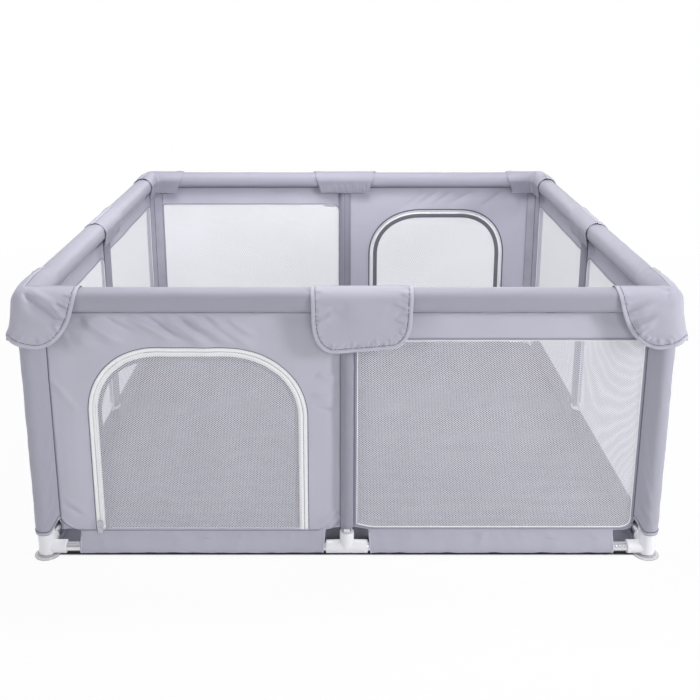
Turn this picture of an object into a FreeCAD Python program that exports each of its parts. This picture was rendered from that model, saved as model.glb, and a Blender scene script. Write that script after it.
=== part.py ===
import FreeCAD, Part
import os
import re

import Sketcher
from FreeCAD import Placement, Rotation, Vector

# Square playpen of eight panels on a frame of push-fit tubes. Millimetres, +Z up, the origin on the floor at
# the middle of the footprint. -Y is the front, and each side is two panels wide.

driving_sizes = {
    # frame
    "post_spacing": 1452.0,  # between the axes of two corner posts
    "rail_height": 648.0,  # axis of the padded top rail above the floor
    "floor_gap": 5.0,  # under the connectors
    "tube_diameter": 22.0,
    "tube_wall": 0.8,
    "bore_clearance": 0.15,  # on the radius, between a tube and its socket
    "rail_socket_diameter": 32.0,
    "corner_socket_diameter": 40.0,
    "corner_socket_reach": 48.0,  # mouth of a rail socket from the post's axis
    "corner_socket_rise": 45.0,  # mouth of the upright socket above the rail's axis
    "corner_edge_radius": 5.0,
    "tee_length": 101.0,
    "tee_boss_diameter": 34.0,
    "tee_boss_rise": 41.0,
    "mouth_edge_radius": 1.2,
    "post_seat": 13.0,  # end of a post from the rail's axis
    "rail_seat": 14.0,  # end of a rail from the corner post's axis
    "tee_stop": 4.0,  # thickness of the stop between the two rails in a tee
    # suction cups
    "cup_diameter": 62.0,
    "cup_rim": 1.2,
    "cup_land": 4.0,  # width of the flat rim
    "cup_neck_diameter": 28.0,
    "cup_hollow": 2.4,
    "stud_diameter": 12.0,
    "stud_length": 9.0,
    "stud_clearance": 0.15,
    # cover
    "cloth": 1.2,
    "flap_cloth": 1.5,
    "cloth_clearance": 0.3,
    "rail_sleeve_diameter": 61.0,
    "rail_sleeve_corner_end": 60.0,  # from the corner post's axis
    "rail_sleeve_middle_end": 54.0,  # from the middle post's axis
    "lower_sleeve_diameter": 28.0,
    "lower_sleeve_corner_end": 85.0,
    "lower_sleeve_middle_end": 55.0,
    "seam_height": 67.0,  # bottom seam of the panels
    "corner_hem_height": 98.0,
    "middle_hem_height": 78.0,
    "corner_post_sleeve_diameter": 46.0,
    "corner_seam": 37.0,  # panel seam from the corner post's axis
    "middle_post_sleeve_diameter": 31.0,
    "middle_post_bare": 75.0,  # bottom of the middle post's sleeve above the floor
    # door
    "door_centre": 347.5,  # from the middle post's axis
    "door_width": 511.0,  # outer edges of the zip
    "door_top": 534.0,
    "door_corner_radius": 185.0,
    "tape_width": 16.0,
    "slider_width": 12.0,
    "slider_height": 18.0,
    "slider_thickness": 3.2,
    "slider_drop": 9.0,  # below the bottom seam
    "slider_edge_gap": 4.0,  # from the tape's outer edge
    "bridge_width": 4.0,
    "bridge_height": 5.0,
    "bridge_depth": 2.6,
    "pull_width": 12.0,
    "pull_length": 20.0,
    "pull_thickness": 1.6,
    "pull_pin_diameter": 1.6,
    "pull_clearance": 0.3,
    # flaps
    "flap_width": 231.0,
    "front_flap_offset": 33.0,
    "flap_drop": 143.0,  # below the top of the rail, outside
    "inner_drop": 87.0,  # the same, inside
    "flap_corner_radius": 50.0,
    "corner_flap_front_arm": 124.0,  # along the front and back rails, from the post's axis
    "corner_flap_side_arm": 150.0,  # along the left and right rails
    "inner_corner_radius": 12.0,
    # mat
    "mat_thickness": 4.7,
    "mat_inset": 5.0,  # edge of the mat from the posts' axes
    "mat_corner_diameter": 64.0,
    "mat_edge_radius": 1.5,
}

doc = FreeCAD.newDocument("Playpen")
sheet = doc.addObject("Spreadsheet::Sheet", "Sizes")
for row, (alias, value) in enumerate(driving_sizes.items(), 1):
    sheet.set(f"A{row}", alias)
    sheet.set(f"B{row}", str(value))
    sheet.setAlias(f"B{row}", alias)
doc.recompute()


def worked_out(text):
    """The text with each size's alias turned into a reference to its cell, in brackets."""
    return "(" + re.sub(r"[a-z_]+", lambda word: f"Sizes.{word[0]}", text) + ")"


# Places that several pieces share, each worked out from the sheet.
axis = worked_out("post_spacing / 2")
lower_rail = worked_out("floor_gap + rail_socket_diameter / 2")
top_rail = worked_out("rail_height")
tube_bore = worked_out("tube_diameter + 2 * bore_clearance")
sleeve_radius = worked_out("rail_sleeve_diameter / 2")
flap_inside = worked_out("rail_sleeve_diameter / 2 + cloth_clearance")
flap_outside = worked_out("rail_sleeve_diameter / 2 + cloth_clearance + flap_cloth")
sheet_top = worked_out("rail_height - rail_sleeve_diameter / 2 + cloth / 2")
cover_bottom = worked_out("rail_height - rail_sleeve_diameter / 2 - cloth_clearance")

nodes = {}  # file name: object


def keep(name, thing):
    thing.Label = name
    nodes[name] = thing
    return thing


# Part objects


def place(thing, at, turn=None):
    if turn:
        thing.Placement = Placement(Vector(), turn)
    for letter, text in zip("xyz", at):
        thing.setExpression(f"Placement.Base.{letter}", text)
    return thing


along_x = Rotation(Vector(0, 1, 0), 90)
along_y = Rotation(Vector(1, 0, 0), -90)


def box(name, lengths, at):
    thing = doc.addObject("Part::Box", name)
    for prop, text in zip(("Length", "Width", "Height"), lengths):
        thing.setExpression(prop, text)
    return place(thing, at)


def cylinder(name, radius, height, at, turn=None, sector=360):
    thing = doc.addObject("Part::Cylinder", name)
    thing.setExpression("Radius", radius)
    thing.setExpression("Height", height)
    thing.Angle = sector
    return place(thing, at, turn)


def fuse(name, things):
    whole = doc.addObject("Part::MultiFuse", name)
    whole.Shapes = things
    return whole


def cut(name, base, tool):
    rest = doc.addObject("Part::Cut", name)
    rest.Base = base
    rest.Tool = tool
    return rest


def group(name, things, degrees=0):
    """The things side by side in one object, turned about the playpen's upright axis."""
    whole = doc.addObject("Part::Compound", name)
    whole.Links = things
    whole.Placement = Placement(Vector(), Rotation(Vector(0, 0, 1), degrees))
    return whole


def mirrored(name, source, normal):
    copy = doc.addObject("Part::Mirroring", name)
    copy.Source = source
    copy.Normal = normal
    return copy


# PartDesign bodies


def body_at(name, at, turn=None):
    return place(doc.addObject("PartDesign::Body", name), at, turn)


def sketch_on(body, role, start="0"):
    sketch = body.newObject("Sketcher::SketchObject", body.Name + "Sketch")
    plane = [p for p in body.Origin.OriginFeatures if p.Role == role][0]
    sketch.AttachmentSupport = (plane, [""])
    sketch.MapMode = "FlatFace"
    sketch.setExpression("AttachmentOffset.Base.z", start)
    return sketch


def circle(sketch, diameter, first_guess):
    index = sketch.addGeometry(Part.Circle(Vector(), Vector(0, 0, 1), first_guess))
    sketch.addConstraint(Sketcher.Constraint("Coincident", index, 3, -1, 1))
    held = sketch.addConstraint(Sketcher.Constraint("Diameter", index, 2 * first_guess))
    sketch.setExpression(f"Constraints[{held}]", diameter)


def polygon(sketch, corners):
    """A closed outline of straight edges, each corner held by its two distances from the origin."""
    spots = []
    for across, up in corners:
        across_now = sketch.evalExpression(across)
        up_now = sketch.evalExpression(up)
        spots.append(Vector(getattr(across_now, "Value", across_now), getattr(up_now, "Value", up_now), 0))
    first = sketch.GeometryCount
    count = len(spots)
    for n in range(count):
        sketch.addGeometry(Part.LineSegment(spots[n], spots[(n + 1) % count]))
    for n in range(count):
        line = first + n
        sketch.addConstraint(Sketcher.Constraint("Coincident", line, 2, first + (n + 1) % count, 1))
        for kind, text, now in (
            ("DistanceX", corners[n][0], spots[n].x),
            ("DistanceY", corners[n][1], spots[n].y),
        ):
            if now < 0:
                held = sketch.addConstraint(Sketcher.Constraint(kind, line, 1, -1, 1, -now))
                sketch.setExpression(f"Constraints[{held}]", f"-({text})")
            else:
                held = sketch.addConstraint(Sketcher.Constraint(kind, -1, 1, line, 1, now))
                sketch.setExpression(f"Constraints[{held}]", text)


def feature(body, kind, sketch, length, backwards=False):
    made = body.newObject("PartDesign::" + kind, body.Name + kind)
    made.Profile = sketch
    made.setExpression("Length", length)
    made.Reversed = backwards
    sketch.Visibility = False
    doc.recompute()
    return made


def rounded(body, kind, role, diameter, length, start="0", guess=10.0, backwards=False):
    """Pads or pockets a circle centred on the body's own axes."""
    sketch = sketch_on(body, role, start)
    circle(sketch, diameter, guess)
    return feature(body, kind, sketch, length, backwards)


def fillet(body, radius, wanted):
    """Rounds the edges of the body that wanted picks."""
    tip = body.Tip
    names = [f"Edge{n}" for n, edge in enumerate(tip.Shape.Edges, 1) if wanted(edge)]
    made = body.newObject("PartDesign::Fillet", body.Name + "Fillet")
    made.Base = (tip, names)
    made.setExpression("Radius", radius)
    doc.recompute()
    return made


def is_rim(edge, diameter, direction):
    """Whether the edge is a full circle of this diameter about this direction."""
    curve = edge.Curve
    return (
        isinstance(curve, Part.Circle)
        and edge.isClosed()
        and abs(2 * curve.Radius - diameter) < 0.01
        and abs(abs(curve.Axis.dot(direction)) - 1) < 1e-6
    )


# Tubes


def tube(name, length, at, turn=None):
    body = body_at(name, at, turn)
    sketch = sketch_on(body, "XY_Plane")
    circle(sketch, worked_out("tube_diameter"), 11)
    circle(sketch, worked_out("tube_diameter - 2 * tube_wall"), 9)
    feature(body, "Pad", sketch, length)
    return body


post_length = worked_out("rail_height - floor_gap - rail_socket_diameter / 2 - 2 * post_seat")
post_bottom = worked_out("floor_gap + rail_socket_diameter / 2 + post_seat")
rail_length = worked_out("post_spacing / 2 - rail_seat - tee_stop / 2")
rail_start = worked_out("rail_seat - post_spacing / 2")
half_stop = worked_out("tee_stop / 2")

sides = {"front": 0, "right": 90, "back": 180, "left": 270}
corners = {"front_left": 0, "front_right": 90, "back_right": 180, "back_left": 270}

corner_post = tube("CornerPost", post_length, ("-" + axis, "-" + axis, post_bottom))
middle_post = tube("MiddlePost", post_length, ("0", "-" + axis, post_bottom))
rails = {}
for level, height in (("lower", lower_rail), ("upper", top_rail)):
    first = tube(level.title() + "RailA", rail_length, (rail_start, "-" + axis, height), along_x)
    second = tube(level.title() + "RailB", rail_length, (half_stop, "-" + axis, height), along_x)
    rails[level] = [first, second]

for corner, degrees in corners.items():
    keep(f"corner_post_{corner}", group("CornerPostAt", [corner_post], degrees))
for side, degrees in sides.items():
    keep(f"middle_post_{side}", group("MiddlePostAt", [middle_post], degrees))
    for level, pair in rails.items():
        keep(f"{level}_rails_{side}", group("RailsAt", pair, degrees))


# Connectors. Each is made upright for the bottom of the playpen and upside down for the top.

rail_socket = worked_out("rail_socket_diameter")
drop_to_base = worked_out("-rail_socket_diameter / 2")


def corner_connector(name, height, upside_down):
    """Origin where the three axes meet, at the front left corner."""
    turn = Rotation(Vector(1, 1, 0), 180) if upside_down else None
    body = body_at(name, ("-" + axis, "-" + axis, height), turn)
    upright = worked_out("corner_socket_rise + rail_socket_diameter / 2")
    reach = worked_out("corner_socket_reach")
    depth = worked_out("corner_socket_reach - rail_seat")
    wide = worked_out("corner_socket_diameter")
    rounded(body, "Pad", "XY_Plane", wide, upright, drop_to_base, guess=20)
    across = sheet.get("corner_socket_diameter")
    fillet(
        body,
        worked_out("corner_edge_radius"),
        lambda e: is_rim(e, across, Vector(0, 0, 1)) and e.CenterOfMass.z < 0,
    )
    rounded(body, "Pad", "YZ_Plane", rail_socket, reach, guess=16)
    rounded(body, "Pad", "XZ_Plane", rail_socket, reach, guess=16, backwards=True)
    fillet(
        body,
        worked_out("mouth_edge_radius"),
        lambda e: is_rim(e, sheet.get("rail_socket_diameter"), Vector(1, 0, 0))
        or is_rim(e, sheet.get("rail_socket_diameter"), Vector(0, 1, 0))
        or (is_rim(e, across, Vector(0, 0, 1)) and e.CenterOfMass.z > 0),
    )
    seat = worked_out("post_seat")
    rise = worked_out("corner_socket_rise - post_seat")
    rounded(body, "Pocket", "XY_Plane", tube_bore, rise, seat, guess=11, backwards=True)
    inner = worked_out("rail_seat")
    rounded(body, "Pocket", "YZ_Plane", tube_bore, depth, inner, guess=11, backwards=True)
    rounded(body, "Pocket", "XZ_Plane", tube_bore, depth, "-" + inner, guess=11)
    if not upside_down:
        stud_bore = worked_out("stud_diameter + 2 * stud_clearance")
        stud_depth = worked_out("stud_length + stud_clearance")
        rounded(body, "Pocket", "XY_Plane", stud_bore, stud_depth, drop_to_base, guess=6, backwards=True)
    return body


def tee_connector(name, height, upside_down):
    """Origin where the two axes meet, at the middle of the front side."""
    turn = Rotation(Vector(1, 0, 0), 180) if upside_down else None
    body = body_at(name, ("0", "-" + axis, height), turn)
    half = worked_out("-tee_length / 2")
    boss = worked_out("tee_boss_diameter")
    rounded(body, "Pad", "YZ_Plane", rail_socket, worked_out("tee_length"), half, guess=16)
    rounded(body, "Pad", "XY_Plane", boss, worked_out("tee_boss_rise"), guess=17)
    fillet(
        body,
        worked_out("mouth_edge_radius"),
        lambda e: is_rim(e, sheet.get("rail_socket_diameter"), Vector(1, 0, 0))
        or is_rim(e, sheet.get("tee_boss_diameter"), Vector(0, 0, 1)),
    )
    rise = worked_out("tee_boss_rise - post_seat")
    rounded(body, "Pocket", "XY_Plane", tube_bore, rise, worked_out("post_seat"), guess=11, backwards=True)
    depth = worked_out("tee_length / 2 - tee_stop / 2")
    rounded(body, "Pocket", "YZ_Plane", tube_bore, depth, half_stop, guess=11, backwards=True)
    rounded(body, "Pocket", "YZ_Plane", tube_bore, depth, "-" + half_stop, guess=11)
    return body


for level, height, upside_down in (("lower", lower_rail, False), ("upper", top_rail, True)):
    at_corner = corner_connector(level.title() + "Corner", height, upside_down)
    for corner, degrees in corners.items():
        keep(f"{level}_corner_{corner}", group("CornerAt", [at_corner], degrees))
    in_middle = tee_connector(level.title() + "Tee", height, upside_down)
    for side, degrees in sides.items():
        keep(f"{level}_tee_{side}", group("TeeAt", [in_middle], degrees))


# Suction cups: a dished disc with a stud in the connector's base

cup = body_at("Cup", ("-" + axis, "-" + axis, "0"))
profile = sketch_on(cup, "XZ_Plane")
polygon(
    profile,
    [
        ("0", worked_out("cup_hollow")),
        (worked_out("cup_diameter / 2 - cup_land"), "0"),
        (worked_out("cup_diameter / 2"), "0"),
        (worked_out("cup_diameter / 2"), worked_out("cup_rim")),
        (worked_out("cup_neck_diameter / 2"), worked_out("floor_gap - cloth_clearance")),
        (worked_out("cup_neck_diameter / 2"), worked_out("floor_gap")),
        (worked_out("stud_diameter / 2"), worked_out("floor_gap")),
        (worked_out("stud_diameter / 2"), worked_out("floor_gap + stud_length")),
        ("0", worked_out("floor_gap + stud_length")),
    ],
)
turned_cup = cup.newObject("PartDesign::Revolution", "CupRevolution")
turned_cup.Profile = profile
turned_cup.ReferenceAxis = (profile, ["V_Axis"])
turned_cup.Angle = 360
doc.recompute()
cups = [group("CupAt", [cup], degrees) for degrees in corners.values()]
keep("suction_cups", group("Cups", cups))


# Cover: pads, panels and post sleeves

sleeve_length = worked_out("post_spacing / 2 - rail_sleeve_corner_end - rail_sleeve_middle_end")
sleeve_start = worked_out("rail_sleeve_corner_end - post_spacing / 2")
pad_radius = worked_out("rail_sleeve_diameter / 2 - cloth - cloth_clearance")
pad_bore = worked_out("tube_diameter / 2 + cloth_clearance")
front_rail = (sleeve_start, "-" + axis, top_rail)
pad = cut(
    "RailPad",
    cylinder("PadOutside", pad_radius, sleeve_length, front_rail, along_x),
    cylinder("PadBore", pad_bore, sleeve_length, front_rail, along_x),
)
other_pad = mirrored("OtherRailPad", pad, Vector(1, 0, 0))
keep("rail_pads", group("Pads", [group("PadPair", [pad, other_pad], d) for d in sides.values()]))


def arch(name, margin, thickness, middle):
    """A slab with the door's outline, this far inside the zip's outer edge and in the wall's plane."""
    at_y = f"-{axis} - {thickness} / 2"
    radius = f"({worked_out('door_corner_radius')} - {margin})"
    half = f"({worked_out('door_width')} / 2 - {margin})"
    low = worked_out("seam_height")
    high = f"({worked_out('door_top')} - {margin})"
    left = f"({middle} - {half})"
    wide = box(name + "Wide", (f"2 * {half}", thickness, f"{high} - {radius} - {low}"), (left, at_y, low))
    tall_width = f"2 * ({half} - {radius})"
    tall = box(name + "Tall", (tall_width, thickness, f"{high} - {low}"), (f"{left} + {radius}", at_y, low))
    rounds = [
        cylinder(name + "Round", radius, thickness, (spot, at_y, f"{high} - {radius}"), along_y)
        for spot in (f"{left} + {radius}", f"{left} + 2 * {half} - {radius}")
    ]
    return fuse(name, [wide, tall, *rounds])


cloth = worked_out("cloth")
cloth_clearance = worked_out("cloth_clearance")
door_middle = worked_out("-door_centre")
sheet_front = worked_out("-post_spacing / 2 - cloth / 2")


def panel(name, with_door):
    """The left half of the front side: rail sleeve, sheet and lower sleeve, sewn into one."""
    left = worked_out("corner_seam - post_spacing / 2")
    right = worked_out("-middle_post_sleeve_diameter / 2 - cloth_clearance")
    base = worked_out("floor_gap + rail_socket_diameter / 2")
    sheet_rise = f"{sheet_top} - {base}"
    band_left = worked_out("lower_sleeve_corner_end - post_spacing / 2")
    band_right = worked_out("-lower_sleeve_middle_end")
    band_length = worked_out("post_spacing / 2 - lower_sleeve_corner_end - lower_sleeve_middle_end")
    band = (band_left, "-" + axis, base)
    whole = fuse(
        name + "Whole",
        [
            box(name + "Sheet", (f"{right} - {left}", cloth, sheet_rise), (left, sheet_front, base)),
            cylinder(name + "RailSleeve", sleeve_radius, sleeve_length, front_rail, along_x),
            cylinder(name + "Band", worked_out("lower_sleeve_diameter / 2"), band_length, band, along_x),
        ],
    )
    corner_hem = worked_out("corner_hem_height")
    middle_hem = worked_out("middle_hem_height")
    deep = worked_out("rail_sleeve_diameter")
    behind = worked_out("-post_spacing / 2 - rail_sleeve_diameter / 2")
    tools = [
        cylinder(
            name + "RailBore", f"{sleeve_radius} - {cloth}", sleeve_length, front_rail, along_x
        ),
        cylinder(
            name + "BandBore", worked_out("lower_sleeve_diameter / 2 - cloth"), band_length, band, along_x
        ),
        box(name + "CornerHem", (f"{band_left} - {left}", deep, corner_hem), (left, behind, "0")),
        box(name + "MiddleHem", (f"{right} - {band_right}", deep, middle_hem), (band_right, behind, "0")),
        cylinder(
            name + "BossClearance",
            worked_out("tee_boss_diameter / 2 + cloth_clearance"),
            worked_out("tee_boss_rise"),
            ("0", "-" + axis, worked_out("rail_height - tee_boss_rise - cloth_clearance")),
        ),
    ]
    if with_door:
        tools.append(arch(name + "Doorway", "0", worked_out("2 * cloth"), door_middle))
    return cut(name, whole, fuse(name + "Tools", tools))


net_panel = panel("NetPanel", False)
other_net_panel = mirrored("OtherNetPanel", net_panel, Vector(1, 0, 0))
door_panel = panel("DoorPanel", True)
keep("front_left_door_panel", group("PanelAt", [door_panel], sides["front"]))
keep("front_right_net_panel", group("PanelAt", [other_net_panel], sides["front"]))
keep("right_front_net_panel", group("PanelAt", [net_panel], sides["right"]))
keep("right_back_net_panel", group("PanelAt", [other_net_panel], sides["right"]))
keep("back_right_door_panel", group("PanelAt", [door_panel], sides["back"]))
keep("back_left_net_panel", group("PanelAt", [other_net_panel], sides["back"]))
keep("left_back_net_panel", group("PanelAt", [net_panel], sides["left"]))
keep("left_front_net_panel", group("PanelAt", [other_net_panel], sides["left"]))


def corner_post_sleeve():
    """A padded tube over the corner post with a fin of cloth to each panel's seam."""
    at = ("-" + axis, "-" + axis)
    radius = worked_out("corner_post_sleeve_diameter / 2")
    low = worked_out("floor_gap + rail_socket_diameter / 2 + corner_socket_rise + cloth_clearance")
    fin_low = worked_out("corner_hem_height")
    fin_rise = f"{cover_bottom} - {fin_low}"
    reach = worked_out("corner_seam")
    whole = fuse(
        "CornerSleeveWhole",
        [
            cylinder("CornerSleeveTube", radius, f"{cover_bottom} - {low}", (*at, low)),
            box("FrontFin", (reach, cloth, fin_rise), (at[0], sheet_front, fin_low)),
            box("SideFin", (cloth, reach, fin_rise), (sheet_front, at[1], fin_low)),
        ],
    )
    socket = worked_out("corner_socket_diameter / 2 + cloth_clearance")
    socket_low = worked_out("rail_height - corner_socket_rise - cloth_clearance")
    bores = fuse(
        "CornerSleeveBores",
        [
            cylinder("CornerSleeveBore", pad_bore, f"{cover_bottom} - {low}", (*at, low)),
            cylinder("CornerSleeveSocket", socket, f"{cover_bottom} - {socket_low}", (*at, socket_low)),
        ],
    )
    return cut("CornerSleeve", whole, bores)


def middle_post_sleeve():
    low = worked_out("middle_post_bare")
    rise = worked_out("rail_height - tee_boss_rise - cloth_clearance - middle_post_bare")
    at = ("0", "-" + axis, low)
    outside = cylinder("MiddleSleeveTube", worked_out("middle_post_sleeve_diameter / 2"), rise, at)
    return cut("MiddleSleeve", outside, cylinder("MiddleSleeveBore", pad_bore, rise, at))


corner_sleeve = corner_post_sleeve()
middle_sleeve = middle_post_sleeve()
post_sleeves = [group("CornerSleeveAt", [corner_sleeve], d) for d in corners.values()]
post_sleeves += [group("MiddleSleeveAt", [middle_sleeve], d) for d in sides.values()]
keep("post_sleeves", group("PostSleeves", post_sleeves))


# Doors and zips

tape_edge = worked_out("cloth_clearance")
tape_inside = worked_out("cloth_clearance + tape_width")
door_edge = worked_out("tape_width + 2 * cloth_clearance")
tape = cut(
    "Tape",
    arch("TapeOutside", tape_edge, cloth, door_middle),
    arch("TapeInside", tape_inside, worked_out("2 * cloth"), door_middle),
)
keep("zip_tapes", group("Tapes", [tape, group("BackTape", [tape], 180)]))

door_left = worked_out("-door_centre - door_width / 2")
seam_gap_size = (worked_out("door_width"), worked_out("2 * cloth"), cloth_clearance)
seam_gap_corner = (door_left, worked_out("-post_spacing / 2 - cloth"), worked_out("seam_height"))
door = cut(
    "DoorLeaf",
    arch("DoorOutline", door_edge, cloth, door_middle),
    box("DoorSeamGap", seam_gap_size, seam_gap_corner),
)
keep("front_door", group("DoorAt", [door], sides["front"]))
keep("back_door", group("DoorAt", [door], sides["back"]))

slider_left = worked_out("-door_centre - door_width / 2 + slider_edge_gap")
slider_centre = worked_out("-door_centre - door_width / 2 + slider_edge_gap + slider_width / 2")
slider_back = worked_out("-post_spacing / 2 - cloth / 2 - cloth_clearance - slider_thickness")
slider_low = worked_out("seam_height - slider_drop")
bridge_low = worked_out("seam_height - slider_drop + slider_height - bridge_height - pull_clearance")
bridge_back = worked_out(
    "-post_spacing / 2 - cloth / 2 - cloth_clearance - slider_thickness - bridge_depth"
)
pin_height = worked_out("seam_height - slider_drop + slider_height - bridge_height / 2 - pull_clearance")
pin_depth = worked_out(
    "-post_spacing / 2 - cloth / 2 - cloth_clearance - slider_thickness - bridge_depth / 2"
)
pin_radius = worked_out("pull_pin_diameter / 2")

slider = cut(
    "Slider",
    fuse(
        "SliderWhole",
        [
            box(
                "SliderPlate",
                (worked_out("slider_width"), worked_out("slider_thickness"), worked_out("slider_height")),
                (slider_left, slider_back, slider_low),
            ),
            box(
                "SliderBridge",
                (worked_out("bridge_width"), worked_out("bridge_depth"), worked_out("bridge_height")),
                (f"{slider_centre} - {worked_out('bridge_width / 2')}", bridge_back, bridge_low),
            ),
        ],
    ),
    cylinder(
        "BridgeEye",
        worked_out("pull_pin_diameter / 2 + pull_clearance"),
        worked_out("bridge_width"),
        (f"{slider_centre} - {worked_out('bridge_width / 2')}", pin_depth, pin_height),
        along_x,
    ),
)
keep("front_zip_slider", group("SliderAt", [slider], sides["front"]))
keep("back_zip_slider", group("SliderAt", [slider], sides["back"]))


def pull_tab():
    """A tab with a window at its foot, where a cross pin runs in the slider's bridge."""
    width = worked_out("pull_width")
    thick = worked_out("pull_thickness")
    tab_left = f"{slider_centre} - {width} / 2"
    tab_back = f"{pin_depth} - {thick} / 2"
    window_width = worked_out("bridge_width + 2 * pull_clearance")
    window_height = worked_out("bridge_height / 2 + 2 * pull_clearance")
    window_left = f"{slider_centre} - {window_width} / 2"
    tab = cut(
        "PullPlate",
        box("PullTab", (width, thick, f"{worked_out('pull_length')} + {pin_radius}"),
            (tab_left, tab_back, f"{pin_height} - {pin_radius}")),
        box("PullWindow", (window_width, f"2 * {thick}", f"{window_height} + {pin_radius}"),
            (window_left, f"{pin_depth} - {thick}", f"{pin_height} - {pin_radius}")),
    )
    pin = cylinder("PullPin", pin_radius, width, (tab_left, pin_depth, pin_height), along_x)
    return fuse("Pull", [tab, pin])


pull = pull_tab()
keep("front_zip_pull", group("PullAt", [pull], sides["front"]))
keep("back_zip_pull", group("PullAt", [pull], sides["back"]))


# Flaps over the joints of the top rail. Each has an outer part that lifts from the rail's ridge and an inner
# part that is sewn down.

flap_cloth = worked_out("flap_cloth")
outer_drop = worked_out("flap_drop - rail_sleeve_diameter / 2 - cloth_clearance - flap_cloth")
inner_drop = worked_out("inner_drop - rail_sleeve_diameter / 2 - cloth_clearance - flap_cloth")
ridge_outside = worked_out("-post_spacing / 2 - cloth_clearance")
outer_face = f"({ridge_outside} - {flap_outside})"
inner_face = f"({flap_inside} - {axis})"

# Quarter sectors above the rail's axis, on its outside and its inside.
outside_quarter = Rotation(Vector(0, 0, 1), Vector(0, -1, 0), Vector(1, 0, 0), "ZXY")
inside_quarter = Rotation(Vector(0, 1, 0), Vector(0, 0, 1), Vector(1, 0, 0), "ZXY")
across_corner = Vector(1, -1, 0)


def quarter(name, length, at, turn):
    """A quarter tube of flap cloth on the rail."""
    outside = cylinder(name + "Outside", flap_outside, length, at, turn, 90)
    inside = cylinder(name + "Inside", flap_inside, length, at, turn, 90)
    return cut(name, outside, inside)


def hanging(name, width, drop, radius, left, face, both_round=True):
    """A sheet below the rail's axis with round free corners. face is its outer or inner side."""
    bottom = f"({top_rail} - {drop})"
    shoulder = f"({bottom} + {radius})"
    inset = radius if both_round else "0"
    centres = [f"{left} + {width} - {radius}"] + ([f"{left} + {radius}"] if both_round else [])
    pieces = [cylinder(name + "Round", radius, flap_cloth, (x, face, shoulder), along_y) for x in centres]
    tall = (width, flap_cloth, f"{top_rail} - {shoulder}")
    pieces.append(box(name + "Upper", tall, (left, face, shoulder)))
    low = (f"{width} - {radius} - {inset}", flap_cloth, radius)
    pieces.append(box(name + "Lower", low, (f"{left} + {inset}", face, bottom)))
    return pieces


def middle_flap():
    width = worked_out("flap_width")
    left = worked_out("-flap_width / 2")
    top = quarter("MiddleFlapTop", width, (left, ridge_outside, top_rail), outside_quarter)
    radius = worked_out("flap_corner_radius")
    return fuse("MiddleFlap", [top, *hanging("MiddleFlap", width, outer_drop, radius, left, outer_face)])


def middle_flap_inside():
    width = worked_out("flap_width")
    left = worked_out("-flap_width / 2")
    top = quarter("MiddleInnerTop", width, (left, "-" + axis, top_rail), inside_quarter)
    radius = worked_out("inner_corner_radius")
    return fuse("MiddleInner", [top, *hanging("MiddleInner", width, inner_drop, radius, left, inner_face)])


def outer_arm(name, length):
    top = quarter(name + "Top", length, (ridge_outside, ridge_outside, top_rail), outside_quarter)
    radius = worked_out("flap_corner_radius")
    sheet_below = hanging(name, length, outer_drop, radius, ridge_outside, outer_face, False)
    return fuse(name, [top, *sheet_below])


def corner_flap():
    """Two arms of flap cloth joined round the corner: a ball's octant above, a quarter tube below."""
    facing_out = Rotation(Vector(0, 0, 1), 180)
    below = (ridge_outside, ridge_outside, f"{top_rail} - {outer_drop}")
    shell = cut(
        "CornerShell",
        cylinder("CornerShellOutside", flap_outside, outer_drop, below, facing_out, 90),
        cylinder("CornerShellInside", flap_inside, outer_drop, below, facing_out, 90),
    )
    balls = []
    for name, radius in (("CornerBallOutside", flap_outside), ("CornerBallInside", flap_inside)):
        ball = doc.addObject("Part::Sphere", name)
        ball.setExpression("Radius", radius)
        ball.Angle1 = 0
        ball.Angle3 = 90
        balls.append(place(ball, (ridge_outside, ridge_outside, top_rail), facing_out))
    side_arm = outer_arm("SideArm", worked_out("corner_flap_side_arm"))
    arms = [
        outer_arm("FrontArm", worked_out("corner_flap_front_arm")),
        mirrored("SideArmTurned", side_arm, across_corner),
    ]
    return fuse("CornerFlap", [*arms, shell, cut("CornerBall", *balls)])


def inner_arm(name, length):
    """From the mitre over the corner to the free end."""
    whole = quarter(name + "Whole", length, ("-" + axis, "-" + axis, top_rail), inside_quarter)
    wedge_size = f"2 * {flap_outside}"
    wedge = box(name + "Wedge", (wedge_size, wedge_size, flap_outside), ("-" + axis, "-" + axis, top_rail))
    wedge.Placement = Placement(wedge.Placement.Base, Rotation(Vector(0, 0, 1), 45))
    top = cut(name + "Top", whole, wedge)
    width = f"({length} - {flap_inside})"
    radius = worked_out("inner_corner_radius")
    sheet_below = hanging(name, width, inner_drop, radius, inner_face, inner_face, False)
    return fuse(name, [top, *sheet_below])


def corner_flap_inside():
    side_arm = inner_arm("SideInner", worked_out("corner_flap_side_arm"))
    front_arm = inner_arm("FrontInner", worked_out("corner_flap_front_arm"))
    return fuse("CornerInner", [front_arm, mirrored("SideInnerTurned", side_arm, across_corner)])


def at_four_corners(name, source):
    """The piece of the front left corner and its mirror images, in the order of corners."""
    return [
        group(name, [source]),
        mirrored(name, source, Vector(1, 0, 0)),
        group(name, [source], 180),
        mirrored(name, source, Vector(0, 1, 0)),
    ]


def at_four_sides(name, source):
    """The piece of the front side and its turned copies; only the front one stands off the middle."""
    copies = [group(name, [source], degrees) for degrees in sides.values()]
    copies[0].setExpression("Placement.Base.x", worked_out("front_flap_offset"))
    return copies


for corner, flap in zip(corners, at_four_corners("CornerFlapAt", corner_flap())):
    keep(f"corner_flap_{corner}", flap)
for side, flap in zip(sides, at_four_sides("MiddleFlapAt", middle_flap())):
    keep(f"middle_flap_{side}", flap)
inner_parts = at_four_corners("CornerInnerAt", corner_flap_inside())
inner_parts += at_four_sides("MiddleInnerAt", middle_flap_inside())
keep("flap_inner_parts", group("InnerParts", inner_parts))


# Floor mat: a thin pad under the lower rails, its corners cut round the suction cups

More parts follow.
